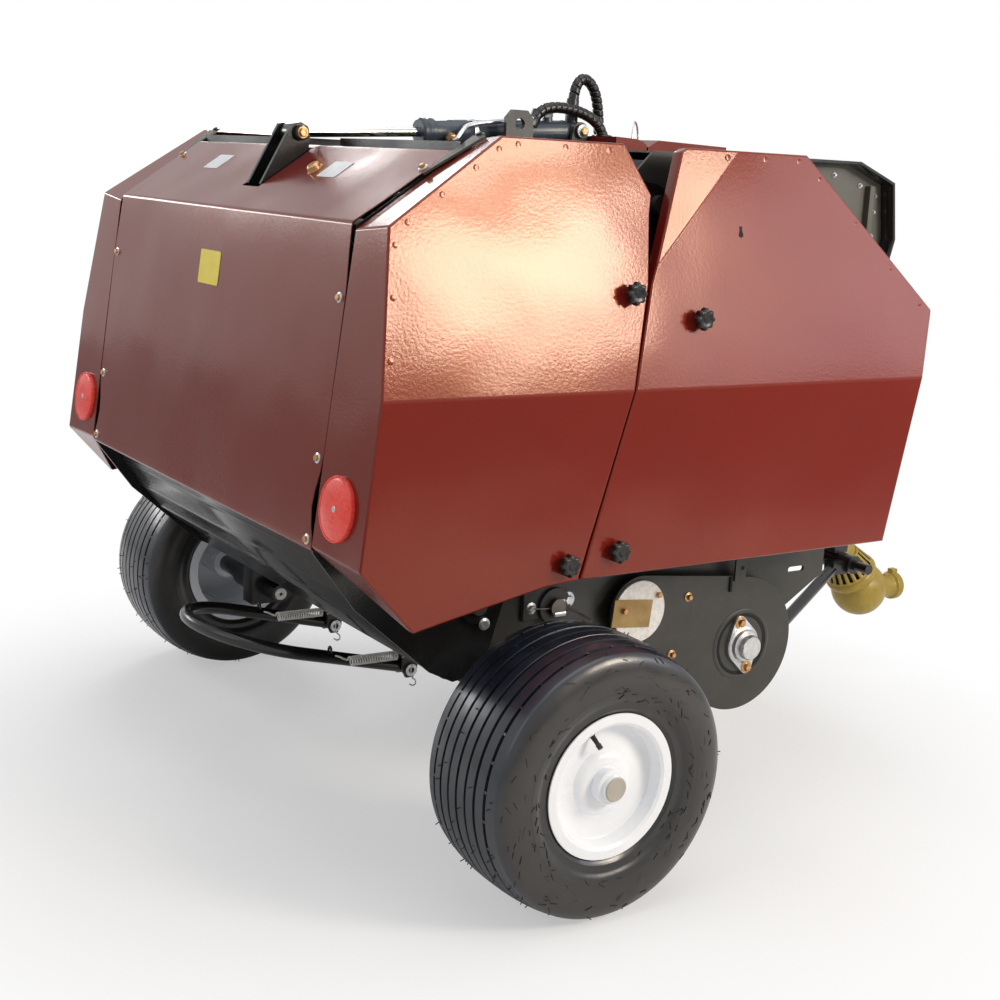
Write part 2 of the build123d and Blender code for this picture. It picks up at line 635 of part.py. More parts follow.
with BuildPart() as cylinder_barrel:
    bar(base_pin + cylinder_dir * 12, base_pin + cylinder_dir * (BARREL_REACH - 20), BARREL_R)
    bar(base_pin + cylinder_dir * (BARREL_REACH - 22), base_pin + cylinder_dir * BARREL_REACH, GLAND_R)
    disc(BASE_PIN_X, BASE_PIN_Z, 17, -EYE_HALF_W, EYE_HALF_W)
    # cast port on top near the base, and the pipe that feeds the rod end along the near side
    port = base_pin + cylinder_dir * 60
    bar(port, port + Vector(0, 0, BARREL_R + 12), 9)
    for reach in (102, BARREL_REACH - 30):
        foot = base_pin + cylinder_dir * reach
        bar(foot, foot + Vector(0, -PIPE_Y - 7, 0), 8)
    bar(base_pin + cylinder_dir * 96 + Vector(0, -PIPE_Y, 0),
        base_pin + cylinder_dir * (BARREL_REACH - 30) + Vector(0, -PIPE_Y, 0), PIPE_R)
    disc(BASE_PIN_X, BASE_PIN_Z, CYLINDER_PIN_R + RUNNING, -EYE_HALF_W - 1, EYE_HALF_W + 1,
         Mode.SUBTRACT)
    bar(base_pin + cylinder_dir * 45, base_pin + cylinder_dir * (BARREL_REACH + 1), ROD_R + 1,
        Mode.SUBTRACT)
    bar(base_pin + cylinder_dir * 45, base_pin + cylinder_dir * (BARREL_REACH - 30), BARREL_R - 5,
        Mode.SUBTRACT)
save("cylinder_barrel", cylinder_barrel)

with BuildPart() as cylinder_rod:
    bar(rod_pin, base_pin + cylinder_dir * 235, ROD_R)
    bar(base_pin + cylinder_dir * 235, base_pin + cylinder_dir * 250, BARREL_R - 5 - RUNNING)
    disc(ROD_PIN_X, ROD_PIN_Z, 17, -EYE_HALF_W, EYE_HALF_W)
save("cylinder_rod", cylinder_rod)


# ---------------------------------------------------------------- bale ramp
ramp_rise = radians(RAMP_RISE)


def ramp_point(reach, y):
    """A point on the ramp's centre line, reach rearward from its pivot."""
    return at(RAMP_PIVOT_X - reach * cos(ramp_rise), y, RAMP_PIVOT_Z + reach * sin(ramp_rise))


with BuildPart() as ramp:
    with BuildLine() as ramp_line:
        Polyline(ramp_point(0, -RAMP_HALF_W), ramp_point(RAMP_REACH - RAMP_HALF_W, -RAMP_HALF_W))
        ThreePointArc(ramp_point(RAMP_REACH - RAMP_HALF_W, -RAMP_HALF_W),
                      ramp_point(RAMP_REACH, 0),
                      ramp_point(RAMP_REACH - RAMP_HALF_W, RAMP_HALF_W))
        Polyline(ramp_point(RAMP_REACH - RAMP_HALF_W, RAMP_HALF_W), ramp_point(0, RAMP_HALF_W))
    start = ramp_point(0, -RAMP_HALF_W)
    with BuildSketch(Plane(origin=start, z_dir=ramp_point(100, -RAMP_HALF_W) - start)):
        Circle(RAMP_TUBE_R)
    sweep(path=ramp_line.wires()[0])
    for side in (-1, 1):
        disc(RAMP_PIVOT_X, RAMP_PIVOT_Z, RAMP_TUBE_R + 1, side * RAMP_HALF_W - RAMP_EAR_Y + SEAT,
             side * RAMP_HALF_W + RAMP_EAR_Y - SEAT)
    for side in (-1, 1):
        disc(RAMP_PIVOT_X, RAMP_PIVOT_Z, RAMP_PIN_R + RUNNING, side * RAMP_HALF_W - RAMP_EAR_Y,
             side * RAMP_HALF_W + RAMP_EAR_Y, Mode.SUBTRACT)
save("ramp", ramp)


# tension springs from the arms up to tabs on the axle beam
SPRING_R, SPRING_HOOK_R = 6.5, 2.5
SPRING_Z = 282
spring_foot = (-146, RAMP_PIVOT_Z + 146 * tan(ramp_rise) + RAMP_TUBE_R / cos(ramp_rise) + 2 * SEAT)
with BuildPart() as ramp_springs:
    for side in (-1, 1):
        y = side * RAMP_HALF_W
        bar(at(-128, y, SPRING_Z), at(-24, y, SPRING_Z), SPRING_R)
        bar(at(-146, y, SPRING_Z), at(SPRING_TAB_X, y, SPRING_Z), SPRING_HOOK_R)
        bar(at(-146, y, spring_foot[1] + SPRING_HOOK_R), at(-146, y, SPRING_Z + SPRING_HOOK_R),
            SPRING_HOOK_R)
save("ramp_springs", ramp_springs)


# ---------------------------------------------------------------- hoses
HOSE_R = 11
feed_hose = [(328, -14, 1261.5), (346, -14, 1296), (420, -16, 1302), (480, -18, 1275),
             (497, -18, 1243)]
return_hose = [(436, 10, 1263.5), (441, 10, 1325), (462, 11, 1356), (490, 13, 1342),
               (510, 15, 1300), (512, 16, 1238.5)]


def hose(route):
    """A hose along straight runs joined by tangent arcs, with its bend radii printed."""
    points = [at(*point) for point in route]
    bends = []
    for before, corner, after in zip(points, points[1:], points[2:]):
        turn = (corner - before).get_angle(after - corner)
        shorter = min((corner - before).length, (after - corner).length)
        bends.append(0.45 * shorter / tan(radians(turn / 2)))
    print("hose radii", [round(bend, 1) for bend in bends])
    with BuildLine() as line:
        FilletPolyline(*points, radius=bends)
    with BuildSketch(Plane(origin=points[0], z_dir=points[1] - points[0])) as end:
        Circle(HOSE_R)
    sweep(end.sketch, path=line.wires()[0])


with BuildPart() as hoses:
    hose(feed_hose)
    hose(return_hose)
save("hoses", hoses)


# ---------------------------------------------------------------- wheels
def across(y):
    """Profile plane for turned parts: local x from the wheel's centre plane, local y is radius."""
    return Plane(origin=(AXLE_X, y, AXLE_Z), x_dir=(0, 1, 0), z_dir=(1, 0, 0))


TREAD_HALF_W = 84
with BuildPart() as tyre_left:
    half = TYRE_W / 2
    bead = RIM_W / 2 - RIM_WALL - SEAT
    seat = RIM_SEAT_R + SEAT
    with BuildSketch(across(WHEEL_Y)):
        with BuildLine():
            Polyline((-bead, seat), (bead, seat), (bead, RIM_FLANGE_R + 3))
            ThreePointArc((bead, RIM_FLANGE_R + 3), (half, 165), (TREAD_HALF_W + 12, 217))
            ThreePointArc((TREAD_HALF_W + 12, 217), (0, TYRE_R), (-TREAD_HALF_W - 12, 217))
            ThreePointArc((-TREAD_HALF_W - 12, 217), (-half, 165), (-bead, RIM_FLANGE_R + 3))
            Line((-bead, RIM_FLANGE_R + 3), (-bead, seat))
        make_face()
        with BuildLine():
            Polyline((-bead + 14, seat - 1), (bead - 14, seat - 1), (bead - 10, RIM_FLANGE_R))
            ThreePointArc((bead - 10, RIM_FLANGE_R), (half - 9, 165), (TREAD_HALF_W, 206))
            ThreePointArc((TREAD_HALF_W, 206), (0, TYRE_R - 13), (-TREAD_HALF_W, 206))
            ThreePointArc((-TREAD_HALF_W, 206), (-half + 9, 165), (-bead + 10, RIM_FLANGE_R))
            Line((-bead + 10, RIM_FLANGE_R), (-bead + 14, seat - 1))
        make_face(mode=Mode.SUBTRACT)
    revolve(axis=Axis((AXLE_X, 0, AXLE_Z), (0, 1, 0)))
save("tyre_left", tyre_left)
save_mirrored("tyre_right", tyre_left)

with BuildPart() as rim_left:
    half = RIM_W / 2
    dish = 62           # the disc's place, out from the wheel's centre plane
    with BuildSketch(across(WHEEL_Y)):
        with BuildLine():
            Polyline((-half, RIM_FLANGE_R), (-half + RIM_WALL, RIM_FLANGE_R),
                     (-half + RIM_WALL, RIM_SEAT_R), (half - RIM_WALL, RIM_SEAT_R),
                     (half - RIM_WALL, RIM_FLANGE_R), (half, RIM_FLANGE_R),
                     (half, RIM_SEAT_R - RIM_WALL), (dish + 5, RIM_SEAT_R - RIM_WALL),
                     (dish + 5, 60), (dish + 16, 46), (dish + 16, HUB_R), (86, HUB_R),
                     (86, HUB_CAP_R), (97, HUB_CAP_R - 3), (97, 0), (78 + 3, 0),
                     (78 + 3, AXLE_R + RUNNING), (-30, AXLE_R + RUNNING), (-30, HUB_R),
                     (dish + 11, HUB_R), (dish + 11, 44), (dish, 58),
                     (dish, RIM_SEAT_R - RIM_WALL), (-half, RIM_SEAT_R - RIM_WALL),
                     close=True)
        make_face()
    revolve(axis=Axis((AXLE_X, 0, AXLE_Z), (0, 1, 0)))
save("rim_left", rim_left)
save_mirrored("rim_right", rim_left)


# ---------------------------------------------------------------- pickup
with BuildPart() as pickup_sides:
    for side in (-1, 1):
        inner, outer = side * SIDE_DISC_Y, side * (SIDE_DISC_Y + SIDE_DISC_T)
        # plate from the pickup's hanger round the reel's bearing
        plate([(268, 325), (230, 355), (216, 400), (226, 440), (262, 468), (520, 446),
               (480, 210), (436, 193)], inner, outer)
        disc(REEL_X - 8, REEL_Z + 2, SIDE_DISC_R, inner, outer)
        disc(275, 400, 62, side * frame_wall_out, inner)
        disc(275, 400, 57, outer, side * (SIDE_DISC_Y + SIDE_DISC_T + 9))
        # flange bearing and its cap
        disc(REEL_X, REEL_Z, 33, outer, side * (SIDE_DISC_Y + SIDE_DISC_T + 9))
        disc(REEL_X, REEL_Z, 22, outer, side * (SIDE_DISC_Y + SIDE_DISC_T + 22))
    for side in (-1, 1):
        disc(REEL_X, REEL_Z, REEL_SHAFT_R + RUNNING, side * (SIDE_DISC_Y - 1),
             side * (SIDE_DISC_Y + SIDE_DISC_T + 14), Mode.SUBTRACT)
save("pickup_sides", pickup_sides)

with BuildPart() as pickup_reel:
    disc(REEL_X, REEL_Z, REEL_SHAFT_R, -SIDE_DISC_Y - 12, SIDE_DISC_Y + 12)
    for y in (-REEL_HALF_W, -REEL_HALF_W / 3, REEL_HALF_W / 3 - 5, REEL_HALF_W - 5):
        disc(REEL_X, REEL_Z, REEL_CORE_R + 8, y, y + 5)
    for number in range(TINE_BARS):
        turn = radians(45 + 360 / TINE_BARS * number)
        bar_x = REEL_X + REEL_CORE_R * cos(turn)
        bar_z = REEL_Z + REEL_CORE_R * sin(turn)
        disc(bar_x, bar_z, 10, -REEL_HALF_W, REEL_HALF_W)
        count = int(2 * (REEL_HALF_W - 20) / TINE_PITCH) + 1
        for tine in range(count):
            y = (tine - (count - 1) / 2) * TINE_PITCH
            bar(at(bar_x, y, bar_z),
                at(REEL_X + REEL_TIP_R * cos(turn), y, REEL_Z + REEL_TIP_R * sin(turn)), TINE_R)
save("pickup_reel", pickup_reel)


# ---------------------------------------------------------------- gearbox and shaft
with BuildPart() as gearbox:
    length, width, height = GEARBOX_SIZE
    block(GEARBOX_X - 119, GEARBOX_X - 20, -width / 2, width / 2, GEARBOX_Z - height / 2,
          GEARBOX_Z + height / 2)
    bar(at(GEARBOX_X - 20, 0, GEARBOX_Z), at(GEARBOX_X, 0, GEARBOX_Z), 48)
    fillet(gearbox.edges().filter_by(Axis.X), 12)
    # output shaft, knuckle and cross pin of the near universal joint
    bar(at(GEARBOX_X, 0, GEARBOX_Z), at(SHAFT_JOINT_X, 0, GEARBOX_Z), 14)
    with Locations(at(SHAFT_JOINT_X, 0, GEARBOX_Z)):
        Sphere(KNUCKLE_R)
    disc(SHAFT_JOINT_X, GEARBOX_Z, CROSS_PIN_R, -KNUCKLE_R - 16, KNUCKLE_R + 16)
save("gearbox", gearbox)

drop = radians(SHAFT_DROP)
shaft_dir = Vector(cos(drop), 0, -sin(drop))
near_joint = at(SHAFT_JOINT_X, 0, GEARBOX_Z)
far_joint = near_joint + shaft_dir * SHAFT_LENGTH

with BuildPart() as shaft_guard:
    # turned about the shaft: bell at the gearbox, tube, stepped cone and bell at the far joint
    with BuildSketch(Plane(origin=near_joint, x_dir=shaft_dir, z_dir=(0, 1, 0))):
        with BuildLine():
            Polyline((28, 0), (28, 54), (50, 54), (90, 44), (90, SHAFT_GUARD_R),
                     (SHAFT_LENGTH - 190, SHAFT_GUARD_R), (SHAFT_LENGTH - 190, 38),
                     (SHAFT_LENGTH - 120, 40), (SHAFT_LENGTH - 70, 60), (SHAFT_LENGTH, 60),
                     (SHAFT_LENGTH, 0), close=True)
        make_face()
    revolve(axis=Axis(near_joint, shaft_dir))
    with Locations(far_joint):
        Sphere(BELL_R)
    bar(far_joint, far_joint + Vector(YOKE_REACH, 0, 0), 27)
    # fork of the near joint, over the knuckle's cross pin
    for side in (-1, 1):
        fork = Vector(0, side * (KNUCKLE_R + 8), 0)
        bar(near_joint + fork, near_joint + fork + shaft_dir * 40, 6)
        disc(SHAFT_JOINT_X, GEARBOX_Z, 14, side * (KNUCKLE_R + 2), side * (KNUCKLE_R + 14))
    disc(SHAFT_JOINT_X, GEARBOX_Z, CROSS_PIN_R + RUNNING, -KNUCKLE_R - 15, KNUCKLE_R + 15,
         Mode.SUBTRACT)
save("shaft_guard", shaft_guard)


# ---------------------------------------------------------------- hitch
saddle_foot = near_joint + shaft_dir * 250
saddle_x = saddle_foot.X - AXLE_X - (SHAFT_GUARD_R + 8 + 0.5) * sin(drop)
saddle_z = saddle_foot.Z - (SHAFT_GUARD_R + 8 + 0.5) * cos(drop)
CLEVIS_Y, CLEVIS_T = 27, 10
STAND_X = HITCH_X - 50
STAND_R = 16
STAND_REACH = 470
LEG_FOOT_Y = HITCH_HALF_SPAN - 60
LEG_HEAD_Y = CLEVIS_Y + CLEVIS_T + 14
CROSSBAR_R = 20
ARM_FRONT_Y = HITCH_HALF_SPAN - 24
ARM_REAR_Y = WALL_Y - 26
with BuildPart() as hitch_crossbar:
    bar(at(HITCH_X, -HITCH_HALF_SPAN, HITCH_PIN_Z), at(HITCH_X, HITCH_HALF_SPAN, HITCH_PIN_Z),
        CROSSBAR_R)
    for side in (-1, 1):
        bar(at(HITCH_X, side * HITCH_HALF_SPAN, HITCH_PIN_Z),
            at(HITCH_X, side * (HITCH_HALF_SPAN + HITCH_PIN_LENGTH), HITCH_PIN_Z), HITCH_PIN_R)
    # sleeve for the parking stand
    block(STAND_X - 24, HITCH_X, STAND_Y - 24, STAND_Y + 24, HITCH_PIN_Z - 25, HITCH_PIN_Z + 35)
    bar(at(STAND_X, STAND_Y, HITCH_PIN_Z - 26), at(STAND_X, STAND_Y, HITCH_PIN_Z + 36),
        STAND_R + SEAT, Mode.SUBTRACT)
save("hitch_crossbar", hitch_crossbar)

with BuildPart() as shaft_saddle:
    # the post stands on the crossbar's top, and the drive shaft rests in its fork
    bar(at(saddle_x, 0, HITCH_PIN_Z + 26), at(saddle_x, 0, saddle_z), 9)
    plate([(HITCH_X - 22, HITCH_PIN_Z + CROSSBAR_R), (saddle_x + 14, HITCH_PIN_Z + CROSSBAR_R),
           (saddle_x + 14, HITCH_PIN_Z + 32), (HITCH_X - 22, HITCH_PIN_Z + 32)], -20, 20)
    disc(saddle_x, saddle_z, 8, -46, 46)
    for side in (-1, 1):
        bar(at(saddle_x, side * 46, saddle_z - 8), at(saddle_x + 30, side * 46, saddle_z + 46), 7)
save("shaft_saddle", shaft_saddle)

with BuildPart() as hitch_legs:
    for side in (-1, 1):
        head = at(TOP_LINK_X, side * LEG_HEAD_Y, TOP_LINK_Z - 45)
        foot = at(HITCH_X - 2, side * LEG_FOOT_Y, HITCH_PIN_Z + 30)
        bar(foot, head, 15)
        # foot block on the crossbar, and the ear of the top link
        block(HITCH_X - 22, HITCH_X + 17, *sorted((side * (LEG_FOOT_Y - 24), side * (LEG_FOOT_Y + 20))),
              HITCH_PIN_Z + CROSSBAR_R - 1, HITCH_PIN_Z + 38)
        low, high = sorted((side * CLEVIS_Y, side * (CLEVIS_Y + CLEVIS_T)))
        plate([(965, 880), (1010, 880), (1010, 988), (960, 988)], low, high)
        block(972, 1000, *sorted((side * CLEVIS_Y, side * (LEG_HEAD_Y + 4))), 884, 912)
        # stay back to a foot plate on the front panel
        bar(head - Vector(0, 0, 10), at(757, side * 300, 980), 13)
        block(743, 761, *sorted((side * 270, side * 330)), 950, 1009)
    for side in (-1, 1):
        low, high = sorted((side * CLEVIS_Y, side * (CLEVIS_Y + CLEVIS_T)))
        disc(TOP_LINK_X, TOP_LINK_Z, TOP_LINK_R, low - 1, high + 1, Mode.SUBTRACT)
        bar(at(HITCH_X, side * (LEG_FOOT_Y - 40), HITCH_PIN_Z), at(HITCH_X, side * (LEG_FOOT_Y + 40),
            HITCH_PIN_Z), CROSSBAR_R, Mode.SUBTRACT)
    # tie between the two ears, under the top link
    disc(TOP_LINK_X, 897, 10, -CLEVIS_Y - 2, CLEVIS_Y + 2)
save("hitch_legs", hitch_legs)

with BuildPart() as hitch_arms:
    for side in (-1, 1):
        # arm back to the frame wall's lower corner, with a boss at either end
        bar(at(HITCH_X - 40, side * ARM_FRONT_Y, HITCH_PIN_Z - 8), at(600, side * (ARM_REAR_Y - 4), 263), 12)
        disc(600, 263, 16, side * (ARM_REAR_Y - 22), side * frame_wall_in)
        block(HITCH_X - 52, HITCH_X - 8, *sorted((side * (ARM_FRONT_Y - 14), side * (ARM_FRONT_Y + 14))),
              HITCH_PIN_Z - 20, HITCH_PIN_Z + 8)
    for side in (-1, 1):
        bar(at(HITCH_X, side * (ARM_FRONT_Y - 40), HITCH_PIN_Z), at(HITCH_X, side * (ARM_FRONT_Y + 40),
            HITCH_PIN_Z), CROSSBAR_R, Mode.SUBTRACT)
save("hitch_arms", hitch_arms)

with BuildPart() as stand:
    bar(at(STAND_X, STAND_Y, 8), at(STAND_X, STAND_Y, STAND_REACH), STAND_R)
    block(STAND_X - 55, STAND_X + 55, STAND_Y - 55, STAND_Y + 55, 0, 8)
save("stand", stand)
print("axle", AXLE_X)
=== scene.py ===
import bpy
import bmesh
import numpy as np
from mathutils import Matrix, Vector
from mathutils.geometry import convex_hull_2d


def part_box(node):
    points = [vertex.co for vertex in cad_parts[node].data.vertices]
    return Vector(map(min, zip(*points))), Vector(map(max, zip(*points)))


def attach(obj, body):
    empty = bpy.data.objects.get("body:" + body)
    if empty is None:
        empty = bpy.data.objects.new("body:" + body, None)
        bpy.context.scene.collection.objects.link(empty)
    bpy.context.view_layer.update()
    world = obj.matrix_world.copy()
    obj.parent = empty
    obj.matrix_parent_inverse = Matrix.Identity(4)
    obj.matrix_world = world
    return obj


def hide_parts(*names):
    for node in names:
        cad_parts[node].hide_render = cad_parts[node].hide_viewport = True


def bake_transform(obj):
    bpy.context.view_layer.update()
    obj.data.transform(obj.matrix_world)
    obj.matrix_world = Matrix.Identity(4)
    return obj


# A mini round baler dressed for the eye. Shapes are written in millimetres: x forward from the
# wheels' axle, y to the machine's left, z up from the ground. make() turns them to the row frame.
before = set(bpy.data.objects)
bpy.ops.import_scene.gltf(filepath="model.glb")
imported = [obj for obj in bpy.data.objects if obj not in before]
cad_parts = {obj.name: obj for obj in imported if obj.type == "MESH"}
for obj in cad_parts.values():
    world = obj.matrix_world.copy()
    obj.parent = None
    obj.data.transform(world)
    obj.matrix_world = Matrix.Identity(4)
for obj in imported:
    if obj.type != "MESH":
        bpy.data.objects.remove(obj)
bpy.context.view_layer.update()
tyre_low, tyre_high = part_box("tyre_left")
AXLE = (tyre_low.x + tyre_high.x) / 2          # where the axle's line lies in the row frame

# ---- sizes in millimetres
WALL = 500                  # outer face of the tailgate's walls
COVER_HALF = 654            # half width over the covers' crease
CREASE = 828                # the crease's height
UPPER_LEAN, LOWER_LEAN = 0.2036, 0.030          # how far the covers lean in above it and spread below
COVER_TOP = 1215
FLANGE_IN = 505             # inner edge of the covers' deep flanges
FLANGE_LEAN = 0.10          # how far those flanges fall towards their inner edge
SHEET = 2.5
TYRE_R, WHEEL_Y = 228.5, 710
CROWN_R = 228.2             # the tread's radius at the tyre's middle
GROOVES = np.linspace(-72, 72, 7)
PLATE_Y = 518               # outer face of the pickup's plates
RAMP_Y, RAMP_Z = 155, 229   # the ramp's pivots
ROD_PIN, BASE_PIN = np.array((-183.0, 0, 1211)), np.array((432.0, 0, 1246))
SIDES = ((1, "left"), (-1, "right"))


# ---- mesh helpers
def unit(v):
    v = np.asarray(v, float)
    return v / np.linalg.norm(v, axis=-1, keepdims=True)


def side_axes(axis):
    """Two unit vectors square to an axis and to each other."""
    axis = unit(axis)
    helper = np.array((0, 0, 1.0)) if abs(axis[2]) < 0.9 else np.array((1.0, 0, 0))
    u = unit(np.cross(helper, axis))
    return u, np.cross(axis, u)


def grid(points, closed=False, flip=False, keep=None):
    """Quads between neighbouring points of a rows by columns grid, whose rows may be closed."""
    rows, cols = points.shape[:2]
    index = np.arange(rows * cols).reshape(rows, cols)
    if closed:
        index = np.hstack([index, index[:, :1]])
    quads = np.stack([index[:-1, :-1], index[1:, :-1], index[1:, 1:], index[:-1, 1:]], -1)
    if keep is not None:
        quads = quads[keep]
    quads = quads.reshape(-1, 4)
    return points.reshape(-1, 3), (quads[:, ::-1] if flip else quads).tolist()


def lathe(profile, origin, axis, steps=48):
    """Each (along, radius) of the profile turned round an axis:
    origin + along * axis + radius * (cos t * u + sin t * v), t from 0 to a full turn."""
    profile = np.asarray(profile, float)
    axis = unit(axis)
    u, v = side_axes(axis)
    t = np.linspace(0, 2 * np.pi, steps, endpoint=False)
    ring = np.cos(t)[:, None] * u + np.sin(t)[:, None] * v
    points = (np.asarray(origin, float) + profile[:, 0, None, None] * axis
              + profile[:, 1, None, None] * ring[None])
    return grid(points, closed=True)


def rod(start, end, radius, steps=20, chamfer=0.0):
    """A closed round bar between two points, with chamfered ends."""
    start, end = np.asarray(start, float), np.asarray(end, float)
    run, inner = np.linalg.norm(end - start), radius - chamfer
    return lathe([(0, 0), (0, inner), (chamfer, radius), (run - chamfer, radius), (run, inner), (run, 0)],
                 start, end - start, steps)


def prism(outline, origin, u, v, depth):
    """A flat outline of (a, b) at origin + a*u + b*v, carried depth along u x v, closed both ends."""
    outline = np.asarray(outline, float)
    u, v = unit(u), unit(v)
    flat = np.asarray(origin, float) + outline[:, 0, None] * u + outline[:, 1, None] * v
    points = np.stack([flat, flat + np.cross(u, v) * depth])
    count = len(outline)
    verts, quads = grid(points, closed=True)
    return verts, quads + [list(range(count))[::-1], list(range(count, 2 * count))]


def side_plate(outline, side, y_in, y_out):
    """A side outline of (x, z) between two distances from the machine's middle plane."""
    low, high = sorted((side * y_in, side * y_out))
    return prism(outline, (0, high, 0), (1, 0, 0), (0, 0, 1), high - low)


def circle(x, z, radius, start=0, end=360, steps=20):
    """Points (x, z) of an arc in the side view, from one angle to another."""
    t = np.radians(np.linspace(start, end, steps, endpoint=end - start < 360))
    return np.stack([x + radius * np.cos(t), z + radius * np.sin(t)], -1)


def tube(path, radius, hint, steps):
    """A ring carried along a path: path + radius(s, t) * (cos t * u + sin t * v), capped flat, where
    u is square to the path and to the hint, and v to both. radius is a number, or a function of
    length along the path and angle round it."""
    path = np.asarray(path, float)
    tangent = unit(np.gradient(path, axis=0))
    u = unit(np.cross(np.broadcast_to(hint, tangent.shape), tangent))
    v = np.cross(tangent, u)
    t = np.linspace(0, 2 * np.pi, steps, endpoint=False)
    reach = np.concatenate([[0], np.cumsum(np.linalg.norm(np.diff(path, axis=0), axis=1))])
    size = radius(reach[:, None], t[None]) if callable(radius) else np.full((len(path), steps), radius)
    ring = np.cos(t)[None, :, None] * u[:, None] + np.sin(t)[None, :, None] * v[:, None]
    points = path[:, None] + size[..., None] * ring
    points = np.concatenate([path[None, :1] + 0 * points[:1], points, path[None, -1:] + 0 * points[:1]])
    return grid(points, closed=True)


def smooth_path(points, count=12):
    """Points of the NURBS line of order 3 that a few control points steer, read from a bare curve."""
    curve = bpy.data.curves.new("route", "CURVE")
    curve.dimensions = "3D"
    spline = curve.splines.new("NURBS")
    spline.points.add(len(points) - 1)
    spline.points.foreach_set("co", np.hstack([points, np.ones((len(points), 1))]).ravel())
    spline.order_u = 3
    spline.use_endpoint_u = True
    curve.resolution_u = count
    holder = bpy.data.objects.new("route", curve)
    mesh = bpy.data.meshes.new_from_object(holder)
    line = np.empty(len(mesh.vertices) * 3)
    mesh.vertices.foreach_get("co", line)
    bpy.data.objects.remove(holder)
    bpy.data.curves.remove(curve)
    bpy.data.meshes.remove(mesh)
    return line.reshape(-1, 3)


def bent_wire(points, radius, hint, steps=8):
    """A round wire along the smooth line that control points steer."""
    return tube(smooth_path(points), radius, hint, steps)


def coil(start, end, radius, wire, turns):
    """A wire wound round a straight line: start + s*(end-start) + radius*(cos a*u + sin a*v),
    a running through all its turns, its wire a round section."""
    start, end = np.asarray(start, float), np.asarray(end, float)
    u, v = side_axes(end - start)
    s = np.linspace(0, 1, turns * 14)
    a = 2 * np.pi * turns * s
    path = start + s[:, None] * (end - start) + radius * (np.cos(a)[:, None] * u + np.sin(a)[:, None] * v)
    return tube(path, wire, hint=unit(end - start), steps=8)


def hex_bolt(point, normal, size, head, washer=True):
    """A washer, a six-sided head with its corners turned down, and nothing behind the sheet."""
    parts = []
    base = 0
    if washer:
        parts.append(lathe([(-0.5, 0), (-0.5, size * 1.75), (1.2, size * 1.75), (1.6, size * 1.6), (1.6, 0)],
                           point, normal, 20))
        base = 1.6
    parts.append(lathe([(base, 0), (base, size * 1.1), (base + head * 0.75, size * 1.1),
                        (base + head, size * 0.92), (base + head, 0)], point, normal, 6))
    return parts


def placed(name, data):
    """A new object in the scene."""
    made = bpy.data.objects.new(name, data)
    bpy.context.scene.collection.objects.link(made)
    return made


def clad(look, *parts):
    """Parts, each paired with the one finish they share, as make() takes them."""
    return [(part, look) for part in parts]


def make(name, parts, body, replaces=None, sharp=32, bevel=0, segments=2, thick=0, seams=True):
    """One object from several ((vertices, faces), finish) pairs: joined, put in the row frame, seams
    merged, faces turned outwards, edges rounded, and riding on its body, if one is named."""
    verts, faces, marks, start = [], [], [], 0
    palette = list(dict.fromkeys(look for part, look in parts))
    for (points, polygons), look in parts:
        verts.append(points)
        faces.extend([[i + start for i in polygon] for polygon in polygons])
        marks.extend([palette.index(look)] * len(polygons))
        start += len(points)
    points = np.vstack(verts) / 1000 + [AXLE, 0, 0]
    mesh = bpy.data.meshes.new(name)
    mesh.from_pydata(points.tolist(), [], faces)
    mesh.polygons.foreach_set("material_index", marks)
    for look in palette:
        mesh.materials.append(look)
    shape = bmesh.new()
    shape.from_mesh(mesh)
    bmesh.ops.remove_doubles(shape, verts=shape.verts, dist=1e-6)
    bmesh.ops.dissolve_degenerate(shape, edges=shape.edges, dist=1e-7)
    if seams:
        bmesh.ops.recalc_face_normals(shape, faces=shape.faces)
    shape.to_mesh(mesh)
    shape.free()
    mesh.shade_smooth()
    piece = placed(name, mesh)
    if not bevel:
        mesh.set_sharp_from_angle(angle=np.radians(sharp))
    if bevel:
        edge = piece.modifiers.new("rounded folds", "BEVEL")
        edge.width, edge.segments = bevel / 1000, segments
        edge.limit_method, edge.angle_limit = "ANGLE", np.radians(8 if thick else 30)
        edge.harden_normals = not thick
    if thick:
        wall = piece.modifiers.new("sheet", "SOLIDIFY")
        wall.thickness, wall.offset = thick / 1000, -1
    if thick and bevel:
        # big flats stay flat: the rounding is shaded on the folds alone
        flats = piece.modifiers.new("flat panels", "WEIGHTED_NORMAL")
        flats.weight, flats.keep_sharp = 100, False
    elif thick:
        mesh.set_sharp_from_angle(angle=np.radians(sharp))
    if body:
        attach(piece, body)
    if replaces:
        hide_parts(replaces)
    return piece


# ---- finishes
def linear(code):
    """An sRGB hex colour as linear red, green, blue, alpha."""
    part = np.array([int(code[i:i + 2], 16) / 255 for i in (1, 3, 5)])
    return (*np.where(part <= 0.04045, part / 12.92, ((part + 0.055) / 1.055) ** 2.4), 1.0)


def put(tree, socket, value):
    """Gives an input its value, or links it to a socket or to a node's first output."""
    if isinstance(value, bpy.types.Node):
        value = value.outputs[0]
    if isinstance(value, bpy.types.NodeSocket):
        tree.links.new(value, socket)
    else:
        socket.default_value = linear(value) if isinstance(value, str) else value


def node(tree, kind, *inputs, **settings):
    """Adds a shader node. inputs feed its inputs in order; settings are its properties, or feed the
    inputs they name."""
    made = tree.nodes.new("ShaderNode" + kind)
    for place, value in enumerate(inputs):
        put(tree, made.inputs[place], value)
    for key, value in settings.items():
        if hasattr(made, key):
            setattr(made, key, value)
        else:
            put(tree, made.inputs[key.replace("_", " ")], value)
    return made


